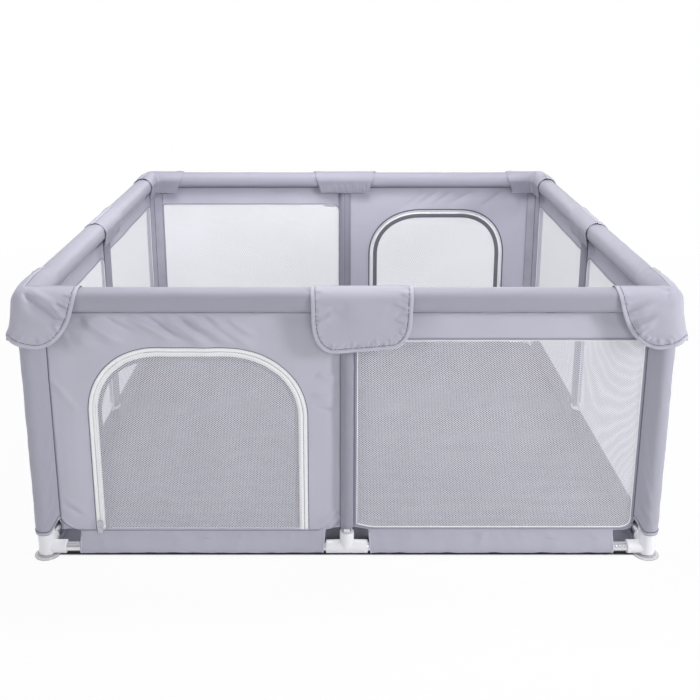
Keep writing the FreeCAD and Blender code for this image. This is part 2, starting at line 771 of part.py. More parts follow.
mat = body_at("Mat", ("0", "0", "0"))
reach = worked_out("post_spacing / 2 - mat_inset")
outline = sketch_on(mat, "XY_Plane")
polygon(
    outline,
    [("-" + reach, "-" + reach), (reach, "-" + reach), (reach, reach), ("-" + reach, reach)],
)
feature(mat, "Pad", outline, worked_out("mat_thickness"))
mat_side = 2 * (sheet.get("post_spacing") / 2 - sheet.get("mat_inset"))
fillet(
    mat,
    worked_out("mat_edge_radius"),
    lambda e: e.CenterOfMass.z > 0 and abs(e.Length - mat_side) < 0.01,
)
corner_room = [
    cylinder("CupRoom", worked_out("mat_corner_diameter / 2"), worked_out("mat_thickness"),
             (f"{x}{axis}", f"{y}{axis}", "0"))
    for x in ("-", "")
    for y in ("-", "")
]
keep("floor_mat", cut("MatCut", mat, fuse("CupRooms", corner_room)))


doc.recompute()

for thing in doc.Objects:
    if "Invalid" in thing.State or "Error" in thing.State:
        raise RuntimeError(f"{thing.Name} failed: {thing.State}")
for name, thing in nodes.items():
    if thing.Shape.isNull() or not thing.Shape.isValid():
        raise RuntimeError(f"{name} has no valid shape")

os.makedirs("parts", exist_ok=True)
for name, thing in nodes.items():
    thing.Shape.exportStep(f"parts/{name}.step")
    print(name, len(thing.Shape.Solids), round(thing.Shape.Volume / 1000, 2), "cm3")
print(len(nodes), "nodes")
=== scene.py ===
import math

import bmesh
import bpy
import numpy as np
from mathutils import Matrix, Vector, geometry
from mathutils.bvhtree import BVHTree


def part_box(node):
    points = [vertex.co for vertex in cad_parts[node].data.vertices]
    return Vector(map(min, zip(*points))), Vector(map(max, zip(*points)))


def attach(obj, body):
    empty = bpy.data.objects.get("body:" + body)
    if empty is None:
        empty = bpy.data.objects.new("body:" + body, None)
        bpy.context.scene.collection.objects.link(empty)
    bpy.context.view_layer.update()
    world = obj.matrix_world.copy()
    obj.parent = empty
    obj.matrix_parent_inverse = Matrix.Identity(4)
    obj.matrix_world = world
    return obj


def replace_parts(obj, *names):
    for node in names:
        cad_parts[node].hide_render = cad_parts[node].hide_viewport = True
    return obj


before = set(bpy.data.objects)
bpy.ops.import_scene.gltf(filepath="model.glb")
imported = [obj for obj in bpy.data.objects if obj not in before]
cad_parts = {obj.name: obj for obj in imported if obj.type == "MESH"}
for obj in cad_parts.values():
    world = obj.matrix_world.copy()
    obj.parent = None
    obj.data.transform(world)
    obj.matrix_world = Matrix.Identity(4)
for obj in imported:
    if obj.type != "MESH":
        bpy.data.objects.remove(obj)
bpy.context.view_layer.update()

scene = bpy.context.scene
quarter = math.pi / 2
sides = {"front": 0.0, "right": quarter, "back": 2 * quarter, "left": 3 * quarter}
turnOf = {side: number for number, side in enumerate(sides)}
corners = {"front_left": 0.0, "front_right": quarter, "back_right": 2 * quarter, "back_left": 3 * quarter}


def middleOf(node):
    low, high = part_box(node)
    return (low + high) / 2


def reachOf(node, axis, end):
    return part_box(node)[end][axis]


postReach = middleOf("corner_post_front_right").x  # from the centre to a post's axis
railHeight = middleOf("upper_rails_front").z
print("frame read: posts at", round(postReach, 4), "top rails at", round(railHeight, 4))


# node helpers

def newNode(tree, kind, settings=None, values=None):
    made = tree.nodes.new(kind)
    for name, value in (settings or {}).items():
        setattr(made, name, value)
    for name, value in (values or {}).items():
        if isinstance(value, Wire):
            tree.links.new(value.socket, made.inputs[name])
        else:
            made.inputs[name].default_value = value
    return made


class Wire:
    # one node socket, with the maths operators

    def __init__(self, tree, socket):
        self.tree, self.socket = tree, socket

    def maths(self, operation, *others):
        return self.joined(operation, self, *others)

    def joined(self, operation, *values):
        made = newNode(self.tree, "ShaderNodeMath", {"operation": operation}, dict(enumerate(values)))
        return Wire(self.tree, made.outputs[0])

    def __add__(self, other):
        return self.maths("ADD", other)

    __radd__ = __add__

    def __mul__(self, other):
        return self.maths("MULTIPLY", other)

    def __sub__(self, other):
        return self.maths("SUBTRACT", other)

    def __rsub__(self, number):
        return self.joined("SUBTRACT", number, self)

    def __truediv__(self, other):
        return self.maths("DIVIDE", other)

    def __pow__(self, other):
        return self.maths("POWER", other)

    def sine(self):
        return self.maths("SINE")

    def size(self):
        return self.maths("ABSOLUTE")

    def saw(self):
        # 0 at the middle of each unit, 1 at its ends
        return (self.maths("FRACT") - 0.5).size() * 2

    def above(self, level, softness):
        return ((self - level) / softness + 0.5).maths("MINIMUM", 1.0).maths("MAXIMUM", 0.0)


class Graph:
    # a node tree under construction

    def wires(self, kind, settings=None, values=None, outputs=(0,)):
        made = newNode(self.tree, kind, settings, values)
        return [Wire(self.tree, made.outputs[output]) for output in outputs]

    def node(self, kind, settings=None, values=None, output=0):
        return self.wires(kind, settings, values, (output,))[0]

    def parts(self, wire):
        return self.wires("ShaderNodeSeparateXYZ", values={0: wire}, outputs=range(3))

    def xyz(self, x=0.0, y=0.0, z=0.0):
        return self.node("ShaderNodeCombineXYZ", values={0: x, 1: y, 2: z})


class Finish(Graph):
    # a material, or the world

    def __init__(self, name, owners=bpy.data.materials):
        self.owner = owners.new(name)
        self.owner.use_nodes = True
        self.tree = self.owner.node_tree
        self.tree.nodes.clear()

    def surface(self, **values):
        named = {name.replace("_", " "): value for name, value in values.items()}
        return self.end(self.node("ShaderNodeBsdfPrincipled", values=named))

    def end(self, wire, kind="Material"):
        newNode(self.tree, "ShaderNodeOutput" + kind, values={"Surface": wire})
        return self.owner

    def rays(self, shine=1.0):
        # 1 where the camera looks, also through what is clear, and shine in mirrors
        camera, glossy, clear = self.wires("ShaderNodeLightPath", outputs=(
            "Is Camera Ray", "Is Glossy Ray", "Is Transmission Ray"))
        return (camera + glossy * shine + clear).maths("MINIMUM", 1.0)

    def place(self):
        return self.node("ShaderNodeTexCoord", output=3)

    def flatCut(self):
        u, v, _ = self.parts(self.node("ShaderNodeUVMap", {"uv_map": "flatCut"}))
        return u, v

    def noise(self, scale, detail, at=None):
        at = self.place() if at is None else at
        return self.node("ShaderNodeTexNoise", values={"Vector": at, "Scale": scale, "Detail": detail})

    def relief(self, height, distance, strength):
        return self.node("ShaderNodeBump", values={
            "Height": height, "Distance": distance, "Strength": strength})

    def mixed(self, factor, first, second):
        return self.node("ShaderNodeMix", {"data_type": "RGBA"}, {0: factor, 6: first, 7: second}, 2)


def colour(red, green, blue):
    # sRGB out of 255 to the linear values that the shaders take
    linear = []
    for value in (red / 255, green / 255, blue / 255):
        linear.append(value / 12.92 if value <= 0.04045 else ((value + 0.055) / 1.055) ** 2.4)
    return (*linear, 1.0)


def shaded(tone, share):
    return tuple(min(1.0, c * share) for c in tone[:3]) + (1.0,)


# mesh helpers

def metres(*rows):
    # rows of millimetres
    return [tuple(round(value / 1000, 6) for value in row) for row in rows]


def unit(vectors):
    return vectors / np.maximum(np.linalg.norm(vectors, axis=1, keepdims=True), 1e-12)


def turned(points, angle):
    points = np.array(points, float)
    x, y = points[..., 0].copy(), points[..., 1].copy()
    points[..., 0] = math.cos(angle) * x - math.sin(angle) * y
    points[..., 1] = math.sin(angle) * x + math.cos(angle) * y
    return points


def ownBox(node, angle):
    # a node's box as its side sees it: two opposite corners
    return turned([[corner.x, corner.y, 0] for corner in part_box(node)], -angle)


def added(name, data):
    piece = bpy.data.objects.new(name, data)
    scene.collection.objects.link(piece)
    return piece


def outwardFaces(mesh):
    work = bmesh.new()
    work.from_mesh(mesh)
    bmesh.ops.recalc_face_normals(work, faces=work.faces)
    work.to_mesh(mesh)
    work.free()


def coordsOf(mesh):
    coords = np.empty(len(mesh.vertices) * 3)
    mesh.vertices.foreach_get("co", coords)
    return coords.reshape(-1, 3)


def paintUv(mesh, uv):
    layer = mesh.uv_layers.new(name="flatCut")
    loopVertex = np.empty(len(mesh.loops), np.int32)
    mesh.loops.foreach_get("vertex_index", loopVertex)
    layer.data.foreach_set("uv", np.asarray(uv, np.float32).reshape(-1, 2)[loopVertex].ravel())


def smoothShaded(mesh):
    mesh.polygons.foreach_set("use_smooth", np.full(len(mesh.polygons), True))


def makePiece(name, points, faces, material, body="frame", replaces=None, uv=None, closed=False):
    mesh = bpy.data.meshes.new(name)
    points = np.asarray(points, float).reshape(-1, 3)
    mesh.from_pydata(points.tolist(), [], [list(map(int, f)) for f in faces])
    if closed:
        outwardFaces(mesh)
    mesh.update()
    if uv is not None:
        paintUv(mesh, uv)
    smoothShaded(mesh)
    mesh.materials.append(material)
    piece = added(name, mesh)
    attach(piece, body)
    if replaces:
        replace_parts(piece, replaces)
    return piece


def thicken(piece, thickness):
    # a wall of even thickness on both sides of the sheet
    shell = piece.modifiers.new("thickness", "SOLIDIFY")
    shell.thickness = thickness
    shell.offset = 0.0
    shell.use_even_offset = False


def gridFaces(rows, columns, closed=False):
    across = columns if closed else columns - 1
    r, c = np.meshgrid(np.arange(rows - 1), np.arange(across), indexing="ij")
    nextC = (c + 1) % columns
    here, after = r * columns, (r + 1) * columns
    return np.stack([here + c, here + nextC, after + nextC, after + c], -1).reshape(-1, 4)


def gridOf(x, y, z):
    # rows x columns of points, from values that may lack either way
    return np.stack(np.broadcast_arrays(x, y, z), -1).astype(float)


def joinedUp(parts):
    # several (points, faces, uv) sets as one
    points, faces, uvs, start = [], [], [], 0
    for p, f, uv in parts:
        p = np.asarray(p).reshape(-1, 3)
        points.append(p)
        faces.extend([[int(k) + start for k in face] for face in f])
        uvs.append(np.asarray(uv).reshape(-1, 2))
        start += len(p)
    return np.vstack(points), faces, np.vstack(uvs)


def resampled(line, spacing):
    line = np.asarray(line, float)
    steps = np.linalg.norm(np.diff(line, axis=0), axis=1)
    along = np.concatenate([[0], np.cumsum(steps)])
    count = max(2, int(round(along[-1] / spacing)) + 1)
    at = np.linspace(0, along[-1], count)
    return np.stack([np.interp(at, along, line[:, k]) for k in range(line.shape[1])], -1)


def ringOf(outline, spacing):
    # a closed outline resampled, without its first point again at the end
    return resampled(np.vstack([outline, outline[:1]]), spacing)[:-1]


def arc(centre, radius, start, end, count):
    angles = np.radians(np.linspace(start, end, count))
    return [(centre[0] + radius * math.cos(a), centre[1] + radius * math.sin(a)) for a in angles]


def inwardNormals(line, closed):
    # unit normals to the left of a flat line, which point inwards on an anticlockwise outline
    line = np.asarray(line, float)
    if closed:
        ahead, behind = np.roll(line, -1, 0), np.roll(line, 1, 0)
    else:
        ahead = np.vstack([line[1:], line[-1:]])
        behind = np.vstack([line[:1], line[:-1]])
    along = unit(ahead - behind)
    return np.stack([-along[:, 1], along[:, 0]], -1)


def insidePolygon(points, polygon):
    x, y = points[:, 0], points[:, 1]
    result = np.zeros(len(points), bool)
    for (x1, y1), (x2, y2) in zip(polygon, np.roll(polygon, -1, 0)):
        crosses = (y1 > y) != (y2 > y)
        at = (x2 - x1) * (y - y1) / (y2 - y1 if y2 != y1 else 1e-12) + x1
        result ^= crosses & (x < at)
    return result


def distanceToLine(points, line):
    line = np.asarray(line, float)
    best = np.full(len(points), 1e9)
    for a, b in zip(line, np.roll(line, -1, 0)):
        d = b - a
        t = np.clip(((points - a) @ d) / max(float(d @ d), 1e-12), 0, 1)
        best = np.minimum(best, np.linalg.norm(points - a - t[:, None] * d, axis=1))
    return best


def flatCut(outline, spacing, hole=None):
    # an outline filled with even triangles, as a flat piece of cloth
    outline = ringOf(outline, spacing)
    rings = [outline] + ([ringOf(hole, spacing)] if hole is not None else [])
    low, high = outline.min(0), outline.max(0)
    rowStep = spacing * 0.866
    rows = np.arange(low[1], high[1], rowStep)
    inner = []
    for number, v in enumerate(rows):
        us = np.arange(low[0] + (spacing / 2 if number % 2 else 0), high[0], spacing)
        inner.append(np.stack([us, np.full(len(us), v)], -1))
    inner = np.vstack(inner)
    keep = insidePolygon(inner, outline)
    inner = inner[keep]
    for ring in rings:
        inner = inner[distanceToLine(inner, ring) > spacing * 0.55]
    if hole is not None:
        inner = inner[~insidePolygon(inner, rings[1])]
    points, edges = list(map(tuple, inner)), []
    for ring in rings:
        start = len(points)
        points += list(map(tuple, ring))
        edges += [(start + k, start + (k + 1) % len(ring)) for k in range(len(ring))]
    made = geometry.delaunay_2d_cdt([Vector(p) for p in points], edges, [], 1, 1e-7)
    flat = np.array([tuple(p) for p in made[0]])
    triangles = np.array([f for f in made[2] if len(f) == 3])
    middles = flat[triangles].mean(1)
    good = insidePolygon(middles, outline)
    if hole is not None:
        good &= ~insidePolygon(middles, rings[1])
    return flat, triangles[good]


def normalsOf(surface, flat):
    step = 0.0006
    du = surface(flat + (step, 0)) - surface(flat - (step, 0))
    dv = surface(flat + (0, step)) - surface(flat - (0, step))
    return unit(np.cross(du, dv))


def strip(surface, line, section, closed=False):
    # a closed section swept along a flat line: section is (inwards, proud) in metres
    line = np.asarray(line, float)
    inwards = inwardNormals(line, closed)
    normals = normalsOf(surface, line + inwards * 0.002)
    rings = []
    for a, h in section:
        rings.append(surface(line + inwards * a) + normals * h)
    points = np.stack(rings, 1)  # along the line, then round the section
    count, around = points.shape[:2]
    faces = gridFaces(count, around, closed=True)[:, ::-1].tolist()
    if closed:
        last = (count - 1) * around
        faces += [[last + k, last + (k + 1) % around, (k + 1) % around, k] for k in range(around)]
    else:
        faces.append(list(range(around)))
        faces.append(list(range((count - 1) * around, count * around))[::-1])
    steps = np.concatenate([[0], np.cumsum(np.linalg.norm(np.diff(points[:, 0], axis=0), axis=1))])
    uv = np.stack([np.repeat(steps, around), np.tile([s[0] + abs(s[1]) for s in section], count)], -1)
    return points.reshape(-1, 3), faces, uv


def onSurface(surface, line, inwards, proud):
    # a line moved inwards on the flat cut, then raised off the surface
    line = np.asarray(line, float)
    moved = line + inwardNormals(line, False) * inwards
    return surface(moved) + normalsOf(surface, moved) * proud


def flatSection(width, thickness):
    half = thickness / 2
    return [(-0.0006, 0.0), (-0.0003, half * 0.75), (0.0008, half), (width * 0.5, half * 1.12),
            (width - 0.0007, half), (width, half * 0.35), (width, -half * 0.35), (width - 0.0007, -half),
            (width * 0.5, -half), (0.0008, -half), (-0.0003, -half * 0.75)]


def tubeAlong(corners, spacing=0.0022, girth=(0, 0.004, 0.006, 0.01)):
    # a ribbon with four edges, closed at both ends; girth is where the edges come on the flat cut
    n = len(corners[0])
    faces = gridFaces(n, 4, closed=True).tolist() + [[0, 1, 2, 3], list(range(4 * n - 4, 4 * n))]
    uv = np.stack([np.tile(girth, n), np.repeat(np.arange(n) * spacing, 4)], -1)
    return np.stack(corners, 1).reshape(-1, 3), faces, uv


def curveThrough(points, spacing):
    # a smooth curve through listed points
    points = np.asarray(points, float)
    padded = np.vstack([2 * points[0] - points[1], points, 2 * points[-1] - points[-2]])
    t = np.linspace(0, 1, 12, endpoint=False)[:, None]
    line = []
    for a, b, c, d in zip(padded, padded[1:], padded[2:], padded[3:]):
        line.append(0.5 * (2 * b + (c - a) * t + (2 * a - 5 * b + 4 * c - d) * t ** 2
                           + (3 * b - a - 3 * c + d) * t ** 3))
    return resampled(np.vstack(line + [points[-1:]]), spacing)


def handed(line, hand):
    # the same line on the other hand, still going round the same way
    line = np.asarray(line, float)
    return line if hand > 0 else line[::-1] * (-1, 1)


def smooth(value, low, high):
    t = np.clip((value - low) / (high - low), 0, 1)
    return t * t * (3 - 2 * t)


def between(value, low, rise, fall, high):
    return smooth(value, low, rise) * (1 - smooth(value, fall, high))


def foldField(flat, folds):
    # soft ridges and creases: (start u, v, end u, v, width, height)
    total = np.zeros(len(flat))
    for u1, v1, u2, v2, width, height in folds:
        d = np.array([u2 - u1, v2 - v1])
        length = np.linalg.norm(d)
        d /= length
        rel = flat - (u1, v1)
        along = rel @ d / length
        across = rel @ np.array([-d[1], d[0]])
        window = between(along, -0.08, 0.25, 0.6, 1.1)
        spread = width * (0.6 + 0.7 * np.clip(along, 0, 1))
        spread = spread * np.where(across > 0, 0.62, 1.25)  # steeper on one side
        total += height * window * np.exp(-(across / spread) ** 2)
    return total


def ripple(flat, seed, scale, height):
    # gentle seeded waves
    random = np.random.default_rng(seed)
    total = np.zeros(len(flat))
    for share in (1.0, 0.62, 0.41):
        angle, phase = random.uniform(0, math.tau), random.uniform(0, math.tau)
        wave = math.tau / (scale * share)
        total += share * np.sin(wave * (flat[:, 0] * math.cos(angle) + flat[:, 1] * math.sin(angle)) + phase
                                + 1.3 * np.sin(wave * 0.37 * flat[:, 1] + 2 * phase))
    return total * height / 2


# finishes

def clothFinish(name, tone, thread=0.0005, roughness=0.62, bump=0.5, fleck=0.05, sheen=0.12):
    # plain weave on the flat cut's own coordinates, with slubs and soft changes of tone
    f = Finish(name)
    u, v = f.flatCut()
    weave = (u * (math.pi / thread)).sine() * (v * (math.pi / thread)).sine()
    slubs = [f.noise(1.0, 2.0, f.xyz(u * x, v * y)) for x, y in ((1500.0, 90.0), (90.0, 1500.0))]
    fine = slubs[0] * 0.5 + slubs[1] * 0.5
    shade = fine * 0.55 + f.noise(7.0, 3.0) * 0.3 + (weave * 0.5 + 0.5) * 0.15
    base = f.mixed(shade.above(0.5, 0.5), shaded(tone, 1 - fleck), shaded(tone, 1 + fleck))
    return f.surface(Base_Color=base, Roughness=roughness + (fine - 0.5) * 0.2,
                     Normal=f.relief(weave * 0.5 + fine * 0.8, 0.0002, bump),
                     Sheen_Weight=sheen, Sheen_Roughness=0.5, Specular_IOR_Level=0.35)


def plasticFinish(name, tone, roughness, grain=900.0, depth=0.00005):
    f = Finish(name)
    cloudy = f.noise(18.0, 3.0)
    base = f.mixed(cloudy.above(0.5, 0.6), shaded(tone, 0.97), tone)
    return f.surface(Base_Color=base, Roughness=roughness + (cloudy - 0.5) * 0.12,
                     Normal=f.relief(f.noise(grain, 2.0), depth, 0.4), Specular_IOR_Level=0.5)


def steelFinish(name, tone):
    # drawn tube: faint marks and a slight change of gloss
    f = Finish(name)
    marks = f.noise(160.0, 4.0)
    base = f.mixed(f.noise(22.0, 2.0).above(0.5, 0.5), shaded(tone, 0.93), tone)
    return f.surface(Base_Color=base, Metallic=0.85, Roughness=0.17 + (marks - 0.5) * 0.08,
                     Normal=f.relief(marks, 0.00002, 0.15), Coat_Weight=0.4, Coat_Roughness=0.1)


def rubberFinish(name, tone):
    # greyer in the middle, pale in a ring near the rim
    f = Finish(name)
    cloudy = f.noise(60.0, 3.0)
    x, y, _ = f.parts(f.place())
    x, y = x.size() - postReach, y.size() - postReach
    out = (x * x + y * y) ** 0.5
    dull = f.mixed(cloudy.above(0.5, 0.5), shaded(tone, 0.66), shaded(tone, 0.72))
    base = f.mixed(out.above(0.0245, 0.003) * (1 - out.above(0.0295, 0.0015)), dull, tone)
    return f.surface(Base_Color=base, Roughness=0.26 + (cloudy - 0.5) * 0.1,
                     Normal=f.relief(cloudy, 0.0001, 0.3), Transmission_Weight=0.15, IOR=1.42,
                     Coat_Weight=0.5, Coat_Roughness=0.08)


def netFinish(name, tone):
    # knitted thread: its twist shows as a fine ripple
    f = Finish(name)
    u, v = f.flatCut()
    wave = math.tau / 0.0005
    twist = ((u + v) * wave).sine() * 0.5 + ((u - v) * wave).sine() * 0.5
    cloudy = f.noise(9.0, 3.0)
    base = f.mixed((twist * 0.12 + cloudy).above(0.5, 0.5), shaded(tone, 0.95), tone)
    return f.surface(Base_Color=base, Roughness=0.6 + (cloudy - 0.5) * 0.15,
                     Normal=f.relief(twist, 0.0001, 0.5), Specular_IOR_Level=0.3)


def facingFinish(name, cloth, thread):
    # net lying on cloth, seen as one
    f = Finish(name)
    u, v = f.flatCut()
    hole = ((u / net["pitch"]).saw() + (v / (2 * net["row"])).saw() - 1).size().above(0.4, 0.15)
    cloudy = f.noise(9.0, 3.0)
    base = f.mixed(cloudy.above(0.5, 0.6), shaded(cloth, 0.93), f.mixed(hole, thread, cloth))
    return f.surface(Base_Color=base, Roughness=0.62 + (cloudy - 0.5) * 0.15,
                     Normal=f.relief(1 - hole, 0.0003, 0.6), Specular_IOR_Level=0.3)


net = {"pitch": 0.0068, "row": 0.00245, "hole": 0.655}
finishes = {
    "facing": facingFinish("netOnOxford", colour(166, 165, 181), colour(205, 205, 214)),
    "cloth": clothFinish("purpleGreyOxford", colour(192, 191, 206)),
    "foot": clothFinish("lowerSleeveOxford", colour(181, 180, 195)),
    # the same oxford as the panels, darker: painted shade on the rail covers
    "cover": clothFinish("railCoverOxford", colour(165, 164, 179)),
    # the same oxford, darker: painted shade on the corner post sleeves
    "sleeve": clothFinish("postSleeveOxford", colour(171, 170, 185)),
    "flap": clothFinish("flapOxford", colour(183, 182, 197)),
    "inside": clothFinish("flapInsideOxford", colour(164, 163, 178)),
    # the same oxford, darker still: painted shade on the middle post sleeves
    "middle": clothFinish("middleSleeveOxford", colour(152, 151, 166)),
    "binding": clothFinish("bindingOxford", colour(193, 192, 207), thread=0.0004, bump=0.6),
    "edging": clothFinish("windowEdgingOxford", colour(160, 160, 177), thread=0.0004, bump=0.6),
    # dark cloth for thin strips along seams and edges: painted shade lines
    "seam": clothFinish("seamShadowCloth", colour(104, 104, 122), thread=0.0004),
    # a grey lining cloth, kept dark: it also paints the shade inside the lower sleeves, beside the tees and
    # behind the door nets
    "lining": clothFinish("greyLiningOxford", colour(112, 112, 122), thread=0.0004),
    "net": netFinish("palePolyesterNet", colour(222, 223, 233)),
    "tape": clothFinish("whiteZipTape", colour(247, 247, 250), thread=0.0009, roughness=0.5, fleck=0.02,
                        bump=0.7),
    "teeth": plasticFinish("nylonZipCoil", colour(206, 206, 212), 0.35),
    "thread": plasticFinish("sewingThread", colour(122, 122, 142), 0.55, grain=2500.0, depth=0.0001),
    "mat": clothFinish("darkFloorCloth", colour(103, 104, 116), thread=0.0007, roughness=0.7, sheen=0.05),
    "plastic": plasticFinish("whiteMouldedPlastic", colour(240, 240, 245), 0.32),
    "steel": steelFinish("brightSteelTube", colour(222, 222, 228)),
    "foam": plasticFinish("paleFoam", colour(226, 226, 222), 0.8, grain=600.0, depth=0.0003),
    "rubber": rubberFinish("clearCupRubber", colour(242, 242, 246)),
    "slider": steelFinish("brushedZipSlider", colour(186, 186, 196)),
}
print("finishes made:", len(finishes))


# node trees for what repeats

class Tree(Graph):
    # a geometry node tree with named inputs

    def __init__(self, name, **inputs):
        self.tree = bpy.data.node_groups.new(name, "GeometryNodeTree")
        sockets = self.tree.interface
        for way in ("INPUT", "OUTPUT"):
            sockets.new_socket("Geometry", in_out=way, socket_type="NodeSocketGeometry")
        for inputName, value in inputs.items():
            kind = "NodeSocketMaterial" if value is None else "NodeSocketFloat"
            socket = sockets.new_socket(inputName, in_out="INPUT", socket_type=kind)
            if value is not None:
                socket.default_value = value
        self.inputs = self.tree.nodes.new("NodeGroupInput").outputs

    def input(self, name):
        return Wire(self.tree, self.inputs[name])

    def real(self, geometry):
        return self.node("GeometryNodeRealizeInstances", values={"Geometry": geometry})

    def end(self, geometry):
        painted = self.node("GeometryNodeSetMaterial", values={
            "Geometry": geometry, "Material": self.input("Finish")})
        newNode(self.tree, "NodeGroupOutput", values={"Geometry": painted})
        return self.tree


def grown(tree, mesh, **values):
    # runs a tree on a mesh and gives back a plain mesh
    carrier = added("carrier", mesh)
    modifier = carrier.modifiers.new("grow", "NODES")
    modifier.node_group = tree
    identifiers = {s.name: s.identifier for s in tree.interface.items_tree if s.in_out == "INPUT"}
    for name, value in values.items():
        modifier[identifiers[name]] = value
    depsgraph = bpy.context.evaluated_depsgraph_get()
    made = bpy.data.meshes.new_from_object(carrier.evaluated_get(depsgraph), depsgraph=depsgraph)
    carrier.modifiers.remove(modifier)
    bpy.data.objects.remove(carrier)
    return made


def netTree():
    # rhombic holes in a flat net that fills the outline it is given
    t = Tree("knittedNet", Width=1.0, Height=1.0, Pitch=0.0068, Row=0.00245, Hole=0.63, Finish=None)
    pitch, row = t.input("Pitch"), t.input("Row")
    columns, rows = (t.input("Width") / pitch).maths("CEIL"), (t.input("Height") / row).maths("CEIL")
    height = rows * row
    grid = t.node("GeometryNodeMeshGrid", values={
        "Size X": columns * pitch, "Size Y": height, "Vertices X": columns + 1.0, "Vertices Y": rows + 1.0})
    _, y, _ = t.parts(t.node("GeometryNodeInputPosition"))
    odd = ((y + height / 2.0) / row).maths("ROUND").maths("FLOORED_MODULO", 2.0)
    staggered = t.node("GeometryNodeSetPosition", values={
        "Geometry": grid, "Offset": t.xyz(odd * (pitch / 2.0))})
    above = t.node("ShaderNodeVectorMath", {"operation": "ADD"}, {
        0: t.node("GeometryNodeInputPosition"), 1: (0.0, 0.0, 0.1)})
    over = t.node("GeometryNodeRaycast", values={
        "Target Geometry": t.input("Geometry"), "Source Position": above,
        "Ray Direction": (0.0, 0.0, -1.0), "Ray Length": 1.0})
    plate = t.node("GeometryNodeMeshCircle", {"fill_type": "NGON"}, {"Vertices": 4, "Radius": 1.0})
    doubled, top = t.wires("GeometryNodeExtrudeMesh", {"mode": "FACES"}, {"Mesh": plate, "Offset Scale": 0.0},
                           ("Mesh", "Top"))
    shrunk = t.node("GeometryNodeScaleElements", {"domain": "FACE"}, {
        "Geometry": doubled, "Selection": top, "Scale": t.input("Hole")})
    ring = t.node("GeometryNodeDeleteGeometry", {"domain": "FACE"}, {"Geometry": shrunk, "Selection": top})
    cell = t.node("GeometryNodeTransform", values={"Geometry": ring, "Scale": t.xyz(pitch / 2.0, row, 1.0)})
    placed = t.node("GeometryNodeInstanceOnPoints", values={
        "Points": staggered, "Selection": over, "Instance": cell})
    return t.end(t.node("GeometryNodeMergeByDistance", values={
        "Geometry": t.real(placed), "Distance": 0.0001}))


def rowTree(name, length, width, height):
    # a row of short rounded bars along a line: stitches lie along it, zip teeth across it
    t = Tree(name, Pitch=0.004, Finish=None)
    line = t.node("GeometryNodeMeshToCurve", values={"Mesh": t.input("Geometry")})
    spaced = t.node("GeometryNodeResampleCurve", {"mode": "LENGTH"}, {
        "Curve": line, "Length": t.input("Pitch")})
    bar = t.node("GeometryNodeMeshIcoSphere", values={"Radius": 0.5, "Subdivisions": 1})
    sized = t.node("GeometryNodeTransform", values={"Geometry": bar, "Scale": (length, width, height)})
    facing = t.node("FunctionNodeAlignEulerToVector", {"axis": "X"}, {
        "Vector": t.node("GeometryNodeInputTangent")})
    size = t.node("FunctionNodeRandomValue", {"data_type": "FLOAT"}, {2: 0.9, 3: 1.1, "Seed": 7}, 1)
    placed = t.node("GeometryNodeInstanceOnPoints", values={
        "Points": spaced, "Instance": sized, "Rotation": facing, "Scale": size})
    return t.end(t.node("GeometryNodeSetShadeSmooth", values={"Geometry": t.real(placed)}))


netCells = netTree()
stitchRow = rowTree("stitchRow", 0.0028, 0.0007, 0.0007)
toothRow = rowTree("zipToothRow", 0.0009, 0.0024, 0.0013)


def linesMesh(lines):
    points, edges = [], []
    for line in lines:
        start = len(points)
        points += np.asarray(line).tolist()
        edges += [(start + k, start + k + 1) for k in range(len(line) - 1)]
    mesh = bpy.data.meshes.new("lines")
    mesh.from_pydata(points, edges, [])
    return mesh


def rowPiece(name, tree, lines, body, finish, **values):
    mesh = grown(tree, linesMesh(lines), Finish=finishes[finish], **values)
    mesh.name = name
    piece = added(name, mesh)
    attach(piece, body)
    return piece


stitchLines = {}  # body -> rows of stitching


def stitched(body, line):
    stitchLines.setdefault(body, []).append(np.asarray(line))


def netPiece(name, outline, surface, angle, body, node, scale):
    # a net that fills a flat outline, laid on a surface
    outline = np.asarray(outline)
    low, high = outline.min(0), outline.max(0)
    middle, (width, height) = (low + high) / 2, high - low
    cut = bpy.data.meshes.new("cut")
    cut.from_pydata([(u, v, 0.0) for u, v in (outline - middle).tolist()], [], [list(range(len(outline)))])
    mesh = grown(netCells, cut, Width=float(width), Height=float(height), Pitch=net["pitch"] * scale,
                 Row=net["row"] * scale, Hole=net["hole"], Finish=finishes["net"])
    mesh.name = name
    flat = coordsOf(mesh)[:, :2] + middle
    mesh.vertices.foreach_set("co", turned(surface(flat), angle).ravel())
    paintUv(mesh, flat)
    smoothShaded(mesh)
    mesh.update()
    piece = added(name, mesh)
    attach(piece, body)
    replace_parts(piece, node)
    area = sum(p.area for p in mesh.polygons)
    max(0.31 * width * height, area)


# side panels: cloth, windows, doors and zips

panel = {
    "inner": 0.0158, "outer": 0.689, "foot": 0.066, "top": 0.6178, "bottom": 0.0655, "seam": 0.067,
    "hemCorner": 0.100, "thickness": 0.0011, "spacing": 0.0085, "doorSpacing": 0.0045, "stand": 0.0034,
    "windowTop": 0.553, "windowBottom": 0.0725, "windowMiddle": 0.0225, "windowOuter": 0.6825,
    "roundCorner": 0.025, "squareCorner": 0.005, "binding": 0.0056, "bindingThickness": 0.0024,
    "hem": 0.0055, "hemStitch": 0.0042, "ringStep": 0.006, "straightStep": 0.02, "halfway": 0.3,
    "ripple": (0.22, 0.0014), "backShare": 0.35, "hemEnds": (0.63, 0.075), "layerBehind": 0.0036,
    "weltHeight": 0.0040, "weltThickness": 0.0030,
}
zip_ = {"reach": 0.0166, "opening": 0.004, "outerTeeth": 0.0091, "innerTeeth": 0.0104, "teethOut": 0.0007,
        "innerTape": 0.0106, "innerEdge": 0.0215, "facing": 0.0165, "pitch": 0.0025, "clear": 0.0775,
        "rightTurn": (0.198, 0.176, 0.94), "leftTurn": (0.172, 0.176, 0.90)}
netScale = {"front": 1.0, "right": 1.38, "back": 1.12, "left": 1.38}  # coarser far sides, for small meshes
